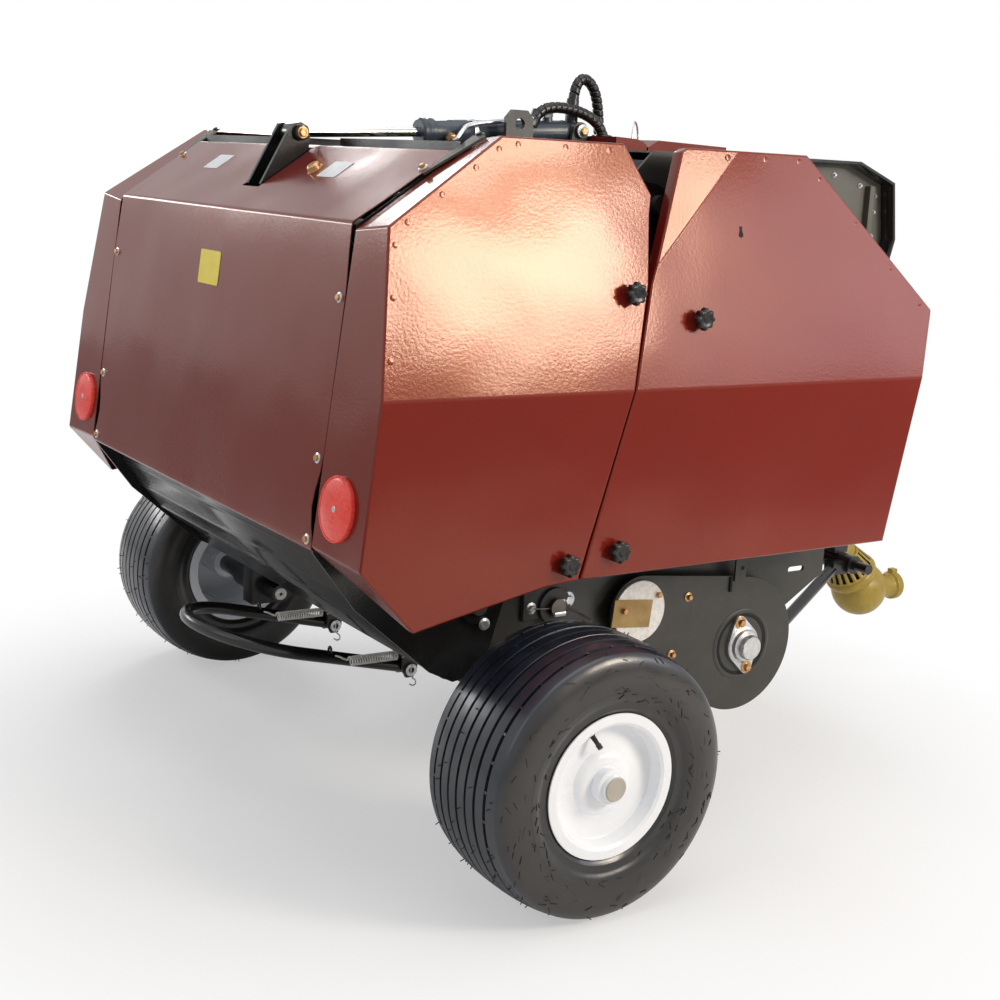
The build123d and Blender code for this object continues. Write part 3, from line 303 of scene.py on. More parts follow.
def colour_mix(tree, share, low, high, blend="MIX"):
    """A mix of two colours by a share; a colour is a hex code, a node or a socket."""
    mix = node(tree, "Mix", share, data_type="RGBA", blend_type=blend)
    put(tree, mix.inputs[6], low)
    put(tree, mix.inputs[7], high)
    return mix.outputs[2]


def finish(name, colour, other, patch=90, grain=2.5, bump=0.1, wave=0, wave_mm=160, rough=0.5, spread=0.06,
           dirt=None, dirt_share=0.3, **shader):
    """A material whose colour drifts between two hex colours over patches of patch mm, with its
    roughness drifting too, and a fine bump of grain mm. Keys in shader go to its sockets."""
    material = bpy.data.materials.new(name)
    material.use_nodes = True
    tree = material.node_tree
    surface = tree.nodes["Principled BSDF"]
    place = node(tree, "TexCoord").outputs["Object"]
    patches = node(tree, "TexNoise", Vector=place, Scale=1000 / patch, Detail=4.0, Roughness=0.6)
    drift = node(tree, "MapRange", Value=patches, From_Min=0.3, From_Max=0.7)
    shade = colour_mix(tree, drift, colour, other)
    if dirt:
        # dust that gathers in patches
        spots = node(tree, "TexNoise", Vector=place, Scale=1000 / (patch * 0.35), Detail=8.0, Roughness=0.7)
        share = node(tree, "MapRange", Value=spots, From_Min=0.5, From_Max=0.75, To_Max=dirt_share)
        shade = colour_mix(tree, share, shade, dirt)
    gloss = node(tree, "MapRange", Value=patches, From_Min=0.3, From_Max=0.7,
                 To_Min=max(rough - spread, 0.02), To_Max=rough + spread)
    grains = node(tree, "TexNoise", Vector=place, Scale=1000 / grain, Detail=2.0)
    relief = node(tree, "Bump", Height=grains, Strength=bump, Distance=grain / 1000)
    if wave:
        # slow buckles of thin sheet
        slow = node(tree, "TexNoise", Vector=place, Scale=1000 / wave_mm, Detail=1.0, Roughness=0.3)
        relief = node(tree, "Bump", Height=slow, Normal=relief, Strength=1.0, Distance=wave / 1000)
    for key, value in {"Base_Color": shade, "Roughness": gloss, "Normal": relief, "Coat_Normal": relief,
                       **shader}.items():
        put(tree, surface.inputs[key.replace("_", " ")], value)
    return material


# powder coat in deep maroon: a glossy skin with orange peel over slightly buckled sheet, in which
# a bright surround shows warm and cream
maroon = finish("maroon powder coat", "#791F17", "#731C15", rough=0.2, spread=0.02, grain=5, bump=0.03,
                wave=5, wave_mm=210, patch=260, IOR=1.5, Specular_Tint="#FFC7A0",
                Coat_Weight=0.35, Coat_Roughness=0.1)
# semi-gloss charcoal enamel on the frame's plates
charcoal = finish("charcoal enamel", "#3B3B38", "#33332F", rough=0.38, grain=4, bump=0.05, wave=2,
                  wave_mm=150, patch=120, dirt="#6A665C", dirt_share=0.12)
# gloss black enamel on tubes and the tailgate's inside
black = finish("black enamel", "#141414", "#1B1B1B", rough=0.24, grain=4, bump=0.05, wave=2,
               wave_mm=140, patch=110, dirt="#4C4944", dirt_share=0.10, Coat_Weight=0.3, Coat_Roughness=0.1)
# bright zinc plating: cool, faintly mottled metal
zinc = finish("bright zinc plating", "#DCDEE0", "#C2C4C6", rough=0.34, spread=0.08, grain=1.5, bump=0.06,
              patch=9, Metallic=0.9)
# yellow-passivated zinc on bolts and fittings
gold = finish("yellow zinc plating", "#D0A878", "#B98A5C", rough=0.34, spread=0.1, grain=1.5, bump=0.06,
              patch=6, Metallic=0.85)
# rolled brass, dull and a little stained
brass = finish("dull rolled brass", "#A98F5E", "#94794A", rough=0.42, spread=0.1, grain=3, bump=0.08,
               patch=30, Metallic=0.6)
# rolled drum steel, polished by crop, with light rust
drum = finish("crop polished steel", "#7C7974", "#66605A", rough=0.36, spread=0.1, grain=1.2, bump=0.1,
              patch=60, Metallic=1.0, dirt="#6B4A33", dirt_share=0.35)
# hard chrome: a mirror
chrome = finish("hard chrome", "#DADBDD", "#D2D4D7", rough=0.07, spread=0.02, grain=20, bump=0.01,
                patch=60, Metallic=1.0)
# sand-cast iron under grey paint
cast = finish("painted sand casting", "#5A5C5D", "#4C4E50", grain=1.6, bump=0.35, patch=50,
              dirt="#7A7468", dirt_share=0.2)
# cream-white rim enamel
cream = finish("white rim enamel", "#F6FAFF", "#EFF3F8", rough=0.25, grain=5, bump=0.04, patch=120,
               Coat_Weight=0.4, Coat_Roughness=0.08)
beige = finish("grey beige nylon cap", "#B9B3A8", "#ADA79B", rough=0.45, grain=2, bump=0.06, patch=20)
# rotationally moulded polyethylene, olive yellow
guard = finish("olive yellow polyethylene", "#AC943C", "#9A8231", rough=0.34, grain=1.5, bump=0.12,
               patch=40, dirt="#5E4F22", dirt_share=0.3)
# injection-moulded black nylon of the knobs
nylon = finish("black moulded nylon", "#151515", "#1C1C1C", rough=0.3, grain=0.9, bump=0.1, patch=20)
# hose in a spiral polypropylene wrap
wrap = finish("spiral wrap polypropylene", "#121212", "#191919", rough=0.28, grain=2, bump=0.05, patch=25)
# blank vinyl labels
yellow_vinyl = finish("yellow vinyl", "#F2DC3C", "#E8D034", grain=2, bump=0.02, patch=30)
white_vinyl = finish("white vinyl", "#F0F1F4", "#E6E8EC", rough=0.45, grain=2, bump=0.02, patch=30)
# olive-grey enamel inside the twine box's end
grey_enamel = finish("olive grey enamel", "#5E5F57", "#56574F", rough=0.45, grain=4, bump=0.05, patch=80)
# blue-grey enamel of the cylinder's barrel
steel_blue = finish("blue grey enamel", "#46505C", "#3C4550", rough=0.3, grain=4, bump=0.05, patch=60)
# painted shade: flat black standing in for shadowed hollows behind panels
hollow_shade = finish("painted hollow shade", "#0B0B0B", "#101010", rough=0.8, grain=3, bump=0.1, patch=60)


def reflector_finish():
    """Moulded red acrylic whose back is a field of small prisms, about 5 mm apart, with a painted pattern of
    lit and dark cells under a clear gloss: painted highlights and painted shade of the prisms."""
    made = finish("red prism acrylic", "#F03A30", "#E8241C", rough=0.3, grain=6, bump=0.02, patch=20,
                  Coat_Weight=0.2, Coat_Roughness=0.03)
    tree = made.node_tree
    place = node(tree, "TexCoord").outputs["Object"]
    cells = node(tree, "TexVoronoi", Vector=place, Scale=1000 / 5)
    # painted highlights and painted shade of the prism cells
    lit = colour_mix(tree, cells, "#FF6454", "#FF1810")
    put(tree, tree.nodes["Principled BSDF"].inputs["Base Color"], lit)
    return made


def tyre_finish():
    """Vulcanised rubber whose colour follows the distance from the axle, painted with light: painted shade,
    near black, by the bead, a painted brown grey sheen over the sidewall, and a painted blue black
    reflection on the crown."""
    made = finish("tyre rubber", "#A8A8A8", "#E6E6E6", rough=0.36, spread=0.08, grain=1.4, bump=0.08,
                  wave=1.5, wave_mm=45, patch=55, dirt="#FFF0DC", dirt_share=0.5, Coat_Weight=0.6,
                  Coat_Roughness=0.2)
    tree = made.node_tree
    base = tree.nodes["Principled BSDF"].inputs["Base Color"]
    place = node(tree, "TexCoord").outputs["Object"]
    from_axle = node(tree, "VectorMath", place, (AXLE, 0, TYRE_R / 1000), operation="SUBTRACT")
    across = node(tree, "VectorMath", from_axle, (1, 0, 1), operation="MULTIPLY")
    radius = node(tree, "VectorMath", across, operation="LENGTH").outputs["Value"]
    share = node(tree, "MapRange", Value=radius, From_Min=0.12, From_Max=0.23)
    # painted light by radius: painted shade by the bead, painted sheen over the sidewall, painted bluish
    # reflection on the crown
    rings = node(tree, "ValToRGB", share)
    stops = ((0.1, "#0C0B0B"), (0.32, "#100F0F"), (0.55, "#282420"), (0.8, "#23201F"), (0.9, "#293040"),
             (1.0, "#232936"))
    for spare in stops[2:]:
        rings.color_ramp.elements.new(spare[0])
    for stop, (share_at, colour) in zip(rings.color_ramp.elements, stops):
        stop.position, stop.color = share_at, linear(colour)
    put(tree, base, colour_mix(tree, 1.0, base.links[0].from_socket, rings, "MULTIPLY"))
    return made


acrylic = reflector_finish()
rubber = tyre_finish()
# the mould's vent hairs, plain dark rubber without the tyre's painted shade and sheen
hair = finish("vent hair rubber", "#0B0B0C", "#111111", grain=1, bump=0.03, patch=20)
# galvanised sheet: pale, with small spangles
galvanised = finish("spangled galvanised sheet", "#F4F2EE", "#DCDAD6", rough=0.4, spread=0.08, grain=1.5,
                    bump=0.06, patch=8, Metallic=0.25)


# ---- folded side covers
def skin(z):
    """Half width of the covers at a height: leaning in above the crease, spreading below it."""
    z = np.asarray(z, float)
    return COVER_HALF - (z - CREASE) * np.where(z > CREASE, UPPER_LEAN, LOWER_LEAN)


def with_crease(outline, depths):
    """The outline with a point wherever an edge crosses the crease's height."""
    points, deep = [], []
    for (x, z), (xn, zn), depth in zip(outline, np.roll(outline, -1, axis=0), depths):
        points.append((x, z))
        deep.append(depth)
        if (z - CREASE) * (zn - CREASE) < 0:
            share = (CREASE - z) / (zn - z)
            points.append((x + share * (xn - x), CREASE))
            deep.append(depth)
    return np.array(points), deep


def folded_cover(outline, depths, side, corner=None):
    """A sheet cover: the side outline on the leaning skin, two flats meeting at the crease, and a
    flange turned in, nearly square to the skin, along each edge. depths gives each edge's flange at
    its two ends, as its depth or, over 100, the width (y) it reaches. corner is (the fold's first
    outline point, its last, inward mm) of a corner set back along a slanting fold."""
    outline, depths = with_crease(np.array(outline, float), depths)
    y = skin(outline[:, 1])
    lean = np.where(outline[:, 1] > CREASE, FLANGE_LEAN, -LOWER_LEAN)
    count = len(outline)
    at_crease = [i for i in range(count) if abs(outline[i, 1] - CREASE) < 1e-6]
    first, second = at_crease
    loops = [list(range(first, second + 1)), list(range(second, count)) + list(range(0, first + 1))]
    if corner:
        a, b, inward = corner
        y[a + 1:b] -= inward
        loops[0] = list(range(first, a + 1)) + list(range(b, second + 1))
        loops.append(list(range(a, b + 1)))
    outer = np.stack([outline[:, 0], side * y, outline[:, 1]], -1)
    verts, faces = [outer], list(loops)
    index = {}
    total = count
    for i, (start, end) in enumerate(depths):
        j = (i + 1) % count
        corners = []
        for k, reach in ((i, start), (j, end)):
            reach = min(reach if reach > 100 else y[k] - reach, y[k])
            if y[k] - reach < 0.5:
                corners.append(k)
                continue
            key = (k, round(float(reach), 1))
            if key not in index:
                index[key] = total
                drop = (y[k] - reach) * lean[k]
                verts.append(np.array([[outline[k, 0], side * reach, outline[k, 1] - drop]]))
                total += 1
            corners.append(index[key])
        loop = [j, i, corners[0], corners[1]]
        faces.append([v for n, v in enumerate(loop) if v not in loop[:n]])
    x, z = outline.T
    # its sign says which way the outline runs
    turn = np.sum(x * np.roll(z, -1) - np.roll(x, -1) * z)
    if side * turn > 0:
        faces = [face[::-1] for face in faces]
    return np.vstack(verts), faces


rear_outline = [(17, 526), (115, 828.0), (155, 996), (165, 1107), (171, 1136), (122, COVER_TOP),
                (-113, COVER_TOP), (-320, 1077), (-381, 577), (-288, 475), (-48, 521)]
narrow, wide, deep = (22, 22), (25, 25), (FLANGE_IN, FLANGE_IN)
rear_depths = [narrow, narrow, narrow, narrow, wide, wide, deep, deep, (FLANGE_IN, 10), (10, 22), narrow]
front_outline = [(21, 526), (117, 828.0), (161, 996), (172, 1022), (250, 1209), (262, COVER_TOP),
                 (367, COVER_TOP), (524, COVER_TOP), (821, 950), (789, 828.0), (718, 526)]
front_depths = [narrow, narrow, narrow, narrow, narrow, wide, wide, deep, deep, deep, narrow]
for side, hand in SIDES:
    for end, body, sheet in (("rear", "tailgate", folded_cover(rear_outline, rear_depths, side)),
                             ("front", "root", folded_cover(front_outline, front_depths, side, (3, 6, 12)))):
        make(f"{end}_cover_sheet_{hand}", clad(maroon, sheet), body, f"{end}_cover_{hand}",
             thick=SHEET, bevel=3.5, segments=3, seams=False)


# ---- wheels
def crown_drop(across):
    """How far the crown falls away at a distance from the tyre's middle: 10 * (|y| / 97)^2.6."""
    return (np.abs(across) / 97) ** 2.6 * 10


def flank_section():
    """Half the section, as (half width, radius) rows: a quadratic arc from the shoulder out to
    (108, 181), where the tyre is widest, and a second one that slants in to the bead at (93, 122.6),
    with a raised line and a shallow ring pressed in above the bead."""
    t = np.linspace(0, 1, 26)[:, None]
    shoulder = (1 - t) ** 2 * [95, 218.9] + 2 * t * (1 - t) * [107, 209] + t ** 2 * [108, 181]
    flank = (1 - t) ** 2 * [108, 181] + 2 * t * (1 - t) * [108.4, 149] + t ** 2 * [93, 122.6]
    ring = (1.2 * np.exp(-((flank[:, 1:] - 129) / 1.8) ** 2) - 2.2 * np.exp(-((flank[:, 1:] - 140) / 6) ** 2)
            + 0.7 * np.exp(-((flank[:, 1:] - 158) / 1.3) ** 2))
    flank = flank + np.hstack([ring, 0 * ring])
    return np.vstack([shoulder[1:], flank[1:]])


def tyre(side):
    """A ribbed implement tyre turned about the axle: the crown, CROWN_R less crown_drop, with grooves
    5.5 deep let in at even spacing, then the flanks, the beads and the inside."""
    y = np.linspace(-95, 95, 900)
    from_groove = np.min(np.abs(y[:, None] - GROOVES), axis=1)
    crown = CROWN_R - crown_drop(y) - 5.5 * np.clip((3.0 - from_groove) / 0.7, 0, 1)
    # keep only the points that turn a corner
    slope = np.abs(np.diff(crown, 2, prepend=crown[0], append=crown[-1]))
    chosen = (slope > 0.02) | (np.arange(len(y)) % 22 == 0) | (np.arange(len(y)) == len(y) - 1)
    tread = np.stack([y[chosen], crown[chosen]], -1)
    half = np.vstack([flank_section(), [(91, 121.2), (90.5, 119.2), (90.4, 101.5), (60, 101.4)]])
    inner = np.array([(60, 108), (84, 124), (96, 168), (84, 204), (0, 214)])
    loop = np.vstack([half[::-1] * [-1, 1], tread, half, inner, inner[-2::-1] * [-1, 1]])
    loop = np.vstack([loop, loop[:1]])
    return lathe(np.stack([loop[:, 0] * side, loop[:, 1]], -1), (0, side * WHEEL_Y, TYRE_R), (0, 1, 0), 128)


def groove_bridges(side):
    """Small blocks that cross the two outermost grooves every thirtieth of a turn."""
    parts = []
    for place in (GROOVES[0], GROOVES[-1]):
        height = CROWN_R - crown_drop(place)
        for angle in np.arange(30) * 2 * np.pi / 30 + (0.1 if place > 0 else 0.0):
            out = np.array([np.cos(angle), 0, np.sin(angle)])
            onward = np.cross(out, (0, 1, 0))
            foot = out * (height - 6) + [0, side * (WHEEL_Y + place), TYRE_R]
            parts.append(prism([(-3.2, -2.2), (3.2, -2.2), (3.2, 2.2), (-3.2, 2.2)], foot, (0, 1, 0),
                               onward, 5.8))
    return parts


def whiskers(side, seed):
    """Vent hairs left by the mould: thin rods that stand off the crown, and others that lie along
    the flank, on the section that flank_section gives."""
    chance = np.random.default_rng(seed)
    section = flank_section()[::-1]
    lines = []
    for angle, across, length in zip(chance.uniform(0, 2 * np.pi, 150), chance.uniform(-92, 94, 150),
                                     chance.uniform(4, 8, 150)):
        if np.min(np.abs(GROOVES - across)) < 4:
            continue
        out = np.array([np.cos(angle), 0, np.sin(angle)])
        foot = out * (CROWN_R - 0.8 - crown_drop(across)) + [0, across, 0]
        way = unit(out + chance.normal(0, 0.35, 3))
        lines.append(np.stack([foot, foot + way * length]))
    for angle, r, length in zip(chance.uniform(0, 2 * np.pi, 150), chance.uniform(136, 214, 150),
                                chance.uniform(7, 13, 150)):
        turn = chance.uniform(-0.9, 0.9)
        shares = np.array((0, 0.5, 1))
        radii = r + shares * length * np.sin(turn)
        angles = angle + shares * length / r
        y = np.minimum(np.interp(radii, section[:, 1], section[:, 0]) + 0.35, 107.4)
        lines.append(np.stack([radii * np.cos(angles), y, radii * np.sin(angles)], -1))
    for line in lines:
        line[:] = line * [1, side, 1] + [0, side * WHEEL_Y, TYRE_R]
        line[:, 2] = np.maximum(line[:, 2], 1)
    return [tube(line, 0.9, hint=(0.3, 0.2, 0.9), steps=5) for line in lines]


def rim(side):
    """A pressed steel wheel turned about the axle: rolled flanges, deep well, and a dished disc
    around a long hub with its cap."""
    face = [(-95, 119), (-93, 120.5), (-91, 119), (-91, 104), (-84, 101.2), (-60, 97), (-30, 96.8),
            (30, 96.8), (60, 97), (84, 101.2), (91, 104), (91, 117), (92, 120), (94, 121.2), (95.5, 120.5),
            (95.5, 117), (95, 106), (92, 101), (84, 98), (72, 95), (68, 88), (66.5, 78), (67, 66), (70, 56),
            (76, 50), (80, 44), (81, 36), (81, 30), (96, 29.2), (98, 27), (98, 21.5), (105.5, 20.8),
            (107.5, 18.5), (107.8, 0), (96, 0), (78, 20.1), (-30, 20.1), (-30, 34), (60, 34), (62, 60),
            (60, 90), (56, 93.2), (-60, 93.4), (-84, 97.6), (-94, 101), (-95, 119)]
    return lathe(np.array(face) * [side, 1], (0, side * WHEEL_Y, TYRE_R), (0, 1, 0), 96)


def hub_cap(side):
    """The pressed cap let into the hub's mouth."""
    return lathe([(104, 20.6), (105.9, 20.4), (107.9, 18.2), (108.0, 0)], (0, side * WHEEL_Y, TYRE_R),
                 (0, side, 0), 48)


for side, hand, seed in ((1, "left", 4), (-1, "right", 9)):
    wheel = f"wheel_{hand}"
    make(f"ribbed_tyre_{hand}", clad(rubber, tyre(side), *groove_bridges(side)), wheel,
         f"tyre_{hand}", sharp=40)
    make(f"vent_hairs_{hand}", clad(hair, *whiskers(side, seed)), wheel)
    make(f"pressed_rim_{hand}", clad(cream, rim(side)) + clad(beige, hub_cap(side)), wheel,
         f"rim_{hand}", sharp=28)
    # black snap-in valve, leaning out of the well
    foot = np.array((-28, side * (WHEEL_Y + 70), TYRE_R + 84))
    tip = foot + np.array((4, side * 22, -17))
    stem = lathe([(0, 0), (0, 6.5), (3, 6), (5, 4.2), (20, 3.6), (20, 4.6), (28, 4.4), (29, 0)], foot,
                 tip - foot, 20)
    make(f"valve_{hand}", clad(nylon, stem), wheel)


# ---- knobs
def star_knob(x, z, side):
    """An eight-lobed knob: along its axis the radius swells and closes over, times
    1 + 0.11 * cos(8 * angle) where the lobes stand, with a dished face and a metal stud."""
    t = np.linspace(0, 2 * np.pi, 64, endpoint=False)
    base = float(skin(z - 19)) + 0.3
    stages = np.array([(0, 0, 0), (0, 10, 0), (4, 11, 0), (6, 16.2, 1), (7.5, 17.2, 1), (16, 17.2, 1),
                       (18.5, 16.4, 1), (20, 14.5, 0.9), (20.3, 12, 0.5), (19.2, 9.5, 0), (19.0, 6, 0),
                       (20.2, 5, 0), (20.2, 0, 0)])
    radius = stages[:, 1, None] * (1 + 0.11 * stages[:, 2, None] * np.cos(8 * t)[None])
    along = base + stages[:, 0, None] + 0 * t
    points = np.stack([x + radius * np.cos(t), side * along, z + radius * np.sin(t)], -1)
    return grid(points, closed=True)


for group, body, places, inner in (("frame", "root", ((254, 941), (89, 569)), WALL - 6),
                                   ("tailgate", "tailgate", ((115, 982), (-11, 556)), WALL)):
    parts = []
    for side in (-1, 1):
        for x, z in places:
            stud = rod((x, side * inner, z), (x, side * (float(skin(z)) + 4), z), 5)
            parts += clad(nylon, star_knob(x, z, side)) + clad(zinc, stud)
    make(f"{group}_star_knobs", parts, body, f"{group}_knobs", sharp=40)


# ---- reflectors
def rear_face(z):
    """The covers' rear face, x at a height."""
    return -381 + (z - 577) / 500 * 61


rear_normal = unit((-500, 0, 61))
parts = []
for side in (-1, 1):
    middle = np.array((rear_face(655) - 0.05, side * 572, 655.0))
    parts += clad(acrylic, lathe([(0, 0), (0, 50.5), (5.5, 51), (7.5, 50), (7.5, 47.5), (6.3, 47), (7.6, 44),
                                  (8.6, 20), (8.8, 9), (8.8, 0)], middle, rear_normal, 64))
    parts += clad(zinc, lathe([(8.5, 0), (8.5, 5.2), (9.4, 4.6), (9.8, 0)], middle, rear_normal, 24))
make("round_reflectors", parts, "tailgate", "reflectors", sharp=35)


# ---- rear panel and belly
def rear_panel():
    """One sheet folded along its rows: (x, z, half width) stations from the bottom lip up the back,
    over the slope and down inside, each row running across the machine. Its long edges draw in
    between the bolts, and a slot is left for the lug."""
    back = [(574, 501.5), (590, 500.5), (612, 491), (640, 485), (668, 489), (700, 498), (724, 501.5),
            (950, 501.5), (980, 500), (1030, 494)]
    lip = [(-362, 572, 501.5)]
    back = [(rear_face(z), z, half) for z, half in back]
    fold = [(-319.8, 1077, 490.5)]
    slot = [(-265, 1113.7, 496), (-160, 1185.2, 500)]
    top = [(-150, 1192, 500), (-146, 1183, 500)]
    path = np.array(lip + back + fold + slot + top)
    y = path[:, 2, None] * np.array([-1, 0, 0, 1]) + [0, -35, 35, 0]
    points = np.stack([path[:, None, 0] + 0 * y, y, path[:, None, 1] + 0 * y], -1)
    keep = np.ones((len(path) - 1, 3), bool)
    keep[len(lip + back + fold), 1] = False
    return grid(points, keep=keep)


make("rear_sheet", clad(maroon, rear_panel()), "tailgate", "rear_panel", thick=SHEET, bevel=5,
     segments=4, seams=False)


def belly():
    """Sheet bent round (48, 731) at 420 mm from 203 to 240 degrees, then flat to the lower lip,
    with three pressed lines that stand 2.5 mm proud."""
    a = np.radians(np.linspace(203, 240, 75))
    lines = sum(2.5 * np.exp(-((np.degrees(a) - place) / 0.35) ** 2) for place in (208.5, 217, 226))
    arc = np.stack([48 + (418.5 + lines) * np.cos(a), 731 + (418.5 + lines) * np.sin(a)], -1)
    path = np.vstack([[(-374, 574.5), (-341, 572)], arc[1:], [(-124, 327), (-62, 323)]])
    y = np.array([-493.5, 493.5])
    return grid(np.stack([path[:, None, 0] + 0 * y, 0 * path[:, None, 0] + y, path[:, None, 1] + 0 * y], -1),
                flip=True)


make("belly_sheet", clad(black, belly()), "tailgate", "belly", thick=SHEET, seams=False,
     sharp=30)


# ---- small things on the covers
def skin_point(x, z, side, out=0.0):
    """A point on a cover's skin, and the skin's outward normal."""
    normal = unit((0, side, UPPER_LEAN if z > CREASE else LOWER_LEAN))
    return np.array((x, side * float(skin(z)), z)) + out * normal, normal


def dimples(places, side):
    """Shallow domes where the flange's brackets are spot-welded behind the sheet."""
    parts = []
    for x, z in places:
        point, normal = skin_point(x, z, side)
        parts.append(lathe([(-0.4, 0), (-0.4, 5.5), (0.05, 5.2), (0.3, 3.4), (0.4, 1.6), (0.4, 0)], point,
                           normal, 16))
    return parts


def along(a, b, shares, inset):
    """Places at shares of the way from a to b, moved inset mm to the left of that way."""
    a, b = np.array(a, float), np.array(b, float)
    way = unit(b - a)
    return [tuple(a + share * (b - a) + inset * np.array((-way[1], way[0]))) for share in shares]


rear_spots = (along((-320, 1077), (-113, 1215), (0.12, 0.42, 0.72, 0.93), -13)
              + along((-113, 1215), (122, 1215), (0.12, 0.5, 0.86), -12)
              + along((-381, 577), (-320, 1077), (0.62, 0.8, 0.95), -12))
front_spots = (along((262, 1215), (524, 1215), (0.3, 0.62, 0.92), -12)
               + along((524, 1215), (821, 950), (0.12, 0.4, 0.68, 0.92), -12))
for side, hand in SIDES:
    make(f"rear_cover_spots_{hand}", clad(maroon, *dimples(rear_spots, side)), "tailgate")
    make(f"front_cover_spots_{hand}", clad(maroon, *dimples(front_spots, side)), "root")
    point, normal = skin_point(359, 1082, side, 0.3)
    upward = np.cross(normal, (side, 0, 0))
    # the keyhole is painted shade: a thin dark disc and slot lying on the skin
    keyhole = [prism(outline, point - 0.6 * normal, (side, 0, 0), upward, 0.8)
               for outline in (circle(0, 5, 5), [(-2.8, -9), (2.8, -9), (2.8, 2), (-2.8, 2)])]
    make(f"keyhole_{hand}", clad(hollow_shade, *keyhole), "root")
    # sharp ridge of the slanting fold
    ridge = [skin_point(x, z, side, -1.0)[0] for x, z in ((175, 1025), (270, 1119), (364, 1212))]
    make(f"fold_ridge_{hand}", clad(maroon, tube(ridge, 1.7, hint=(0, side, 0), steps=12)), "root")


# ---- on the rear panel
slope_normal = unit((-115, 0, 169))
slope_up = unit((169, 0, 115))
rear_up = unit((61, 0, 500))


def slope_z(x):
    """The sloping part of the rear panel, z at an x."""
    return 1077 + (x + 319) / 169 * 115


parts = []
for side in (-1, 1):
    for z in (963, 717, 590):
        parts += zip(hex_bolt((rear_face(z) - 0.2, side * 485, z), rear_normal, 4.9, 4.4), (zinc, gold))
    parts += zip(hex_bolt(np.array((-196, side * 485, slope_z(-196))) + 0.2 * slope_normal, slope_normal,
                          4.9, 5.5), (zinc, gold))
make("panel_bolts", parts, "tailgate", sharp=30)


def label(middle, up, width, height, normal, lift):
    """A blank label with rounded corners, lying on a sheet."""
    r = 4.0
    outline = np.vstack([circle((width / 2 - r) * sx, (height / 2 - r) * sz, r, start, start + 90, 5)
                         for sx, sz, start in ((1, 1, 0), (-1, 1, 90), (-1, -1, 180), (1, -1, 270))])
    across = np.cross(up, normal)
    return prism(outline, np.asarray(middle) + (lift - 0.6) * normal, across, up, 0.6)


plate = label((rear_face(969), 16, 969), rear_up, 88, 60, rear_normal, 0.9)
make("blank_rear_plate", clad(yellow_vinyl, plate), "tailgate")
labels = [label((x, y, slope_z(x)), slope_up, 66, 46, slope_normal, 0.7)
          for x, y in ((-209, 269), (-211, -221))]
make("blank_slope_labels", clad(white_vinyl, *labels), "tailgate")
plug = lathe([(-0.5, 0), (-0.5, 15), (1.5, 15), (2.5, 12.5), (9, 11.5), (11.5, 9), (12, 0)],
             (-214, -153, slope_z(-214)), slope_normal, 32)
make("slope_plug", clad(gold, plug), "tailgate")
# grey plates that close the slope's upper corners, widening upwards
parts = []
for side in (-1, 1):
    low, high = np.array((-205, 0, slope_z(-205) - 3)), np.array((-116, 0, slope_z(-116) - 3))
    flat = np.stack([low + (0, side * 499, 0), high + (0, side * 499, 0), high + (0, side * 535, 0),
                     low + (0, side * 503, 0)])
    points = np.vstack([flat - 2 * slope_normal, flat + 2.5 * slope_normal])
    faces = [[0, 1, 2, 3], [7, 6, 5, 4], [0, 4, 5, 1], [1, 5, 6, 2], [2, 6, 7, 3], [3, 7, 4, 0]]
    parts += clad(grey_enamel, (points, faces))
    parts += clad(nylon, *hex_bolt(high + (4, side * 512, 1), slope_normal, 5, 5))
make("slope_corner_plates", parts, "tailgate", bevel=0.8)


# ---- pickup
def outline_hull(circles):
    """The outer line round several circles, (x, z, radius) each."""
    points = np.vstack([circle(x, z, r, steps=48) for x, z, r in circles])
    return points[convex_hull_2d([tuple(p) for p in points])]


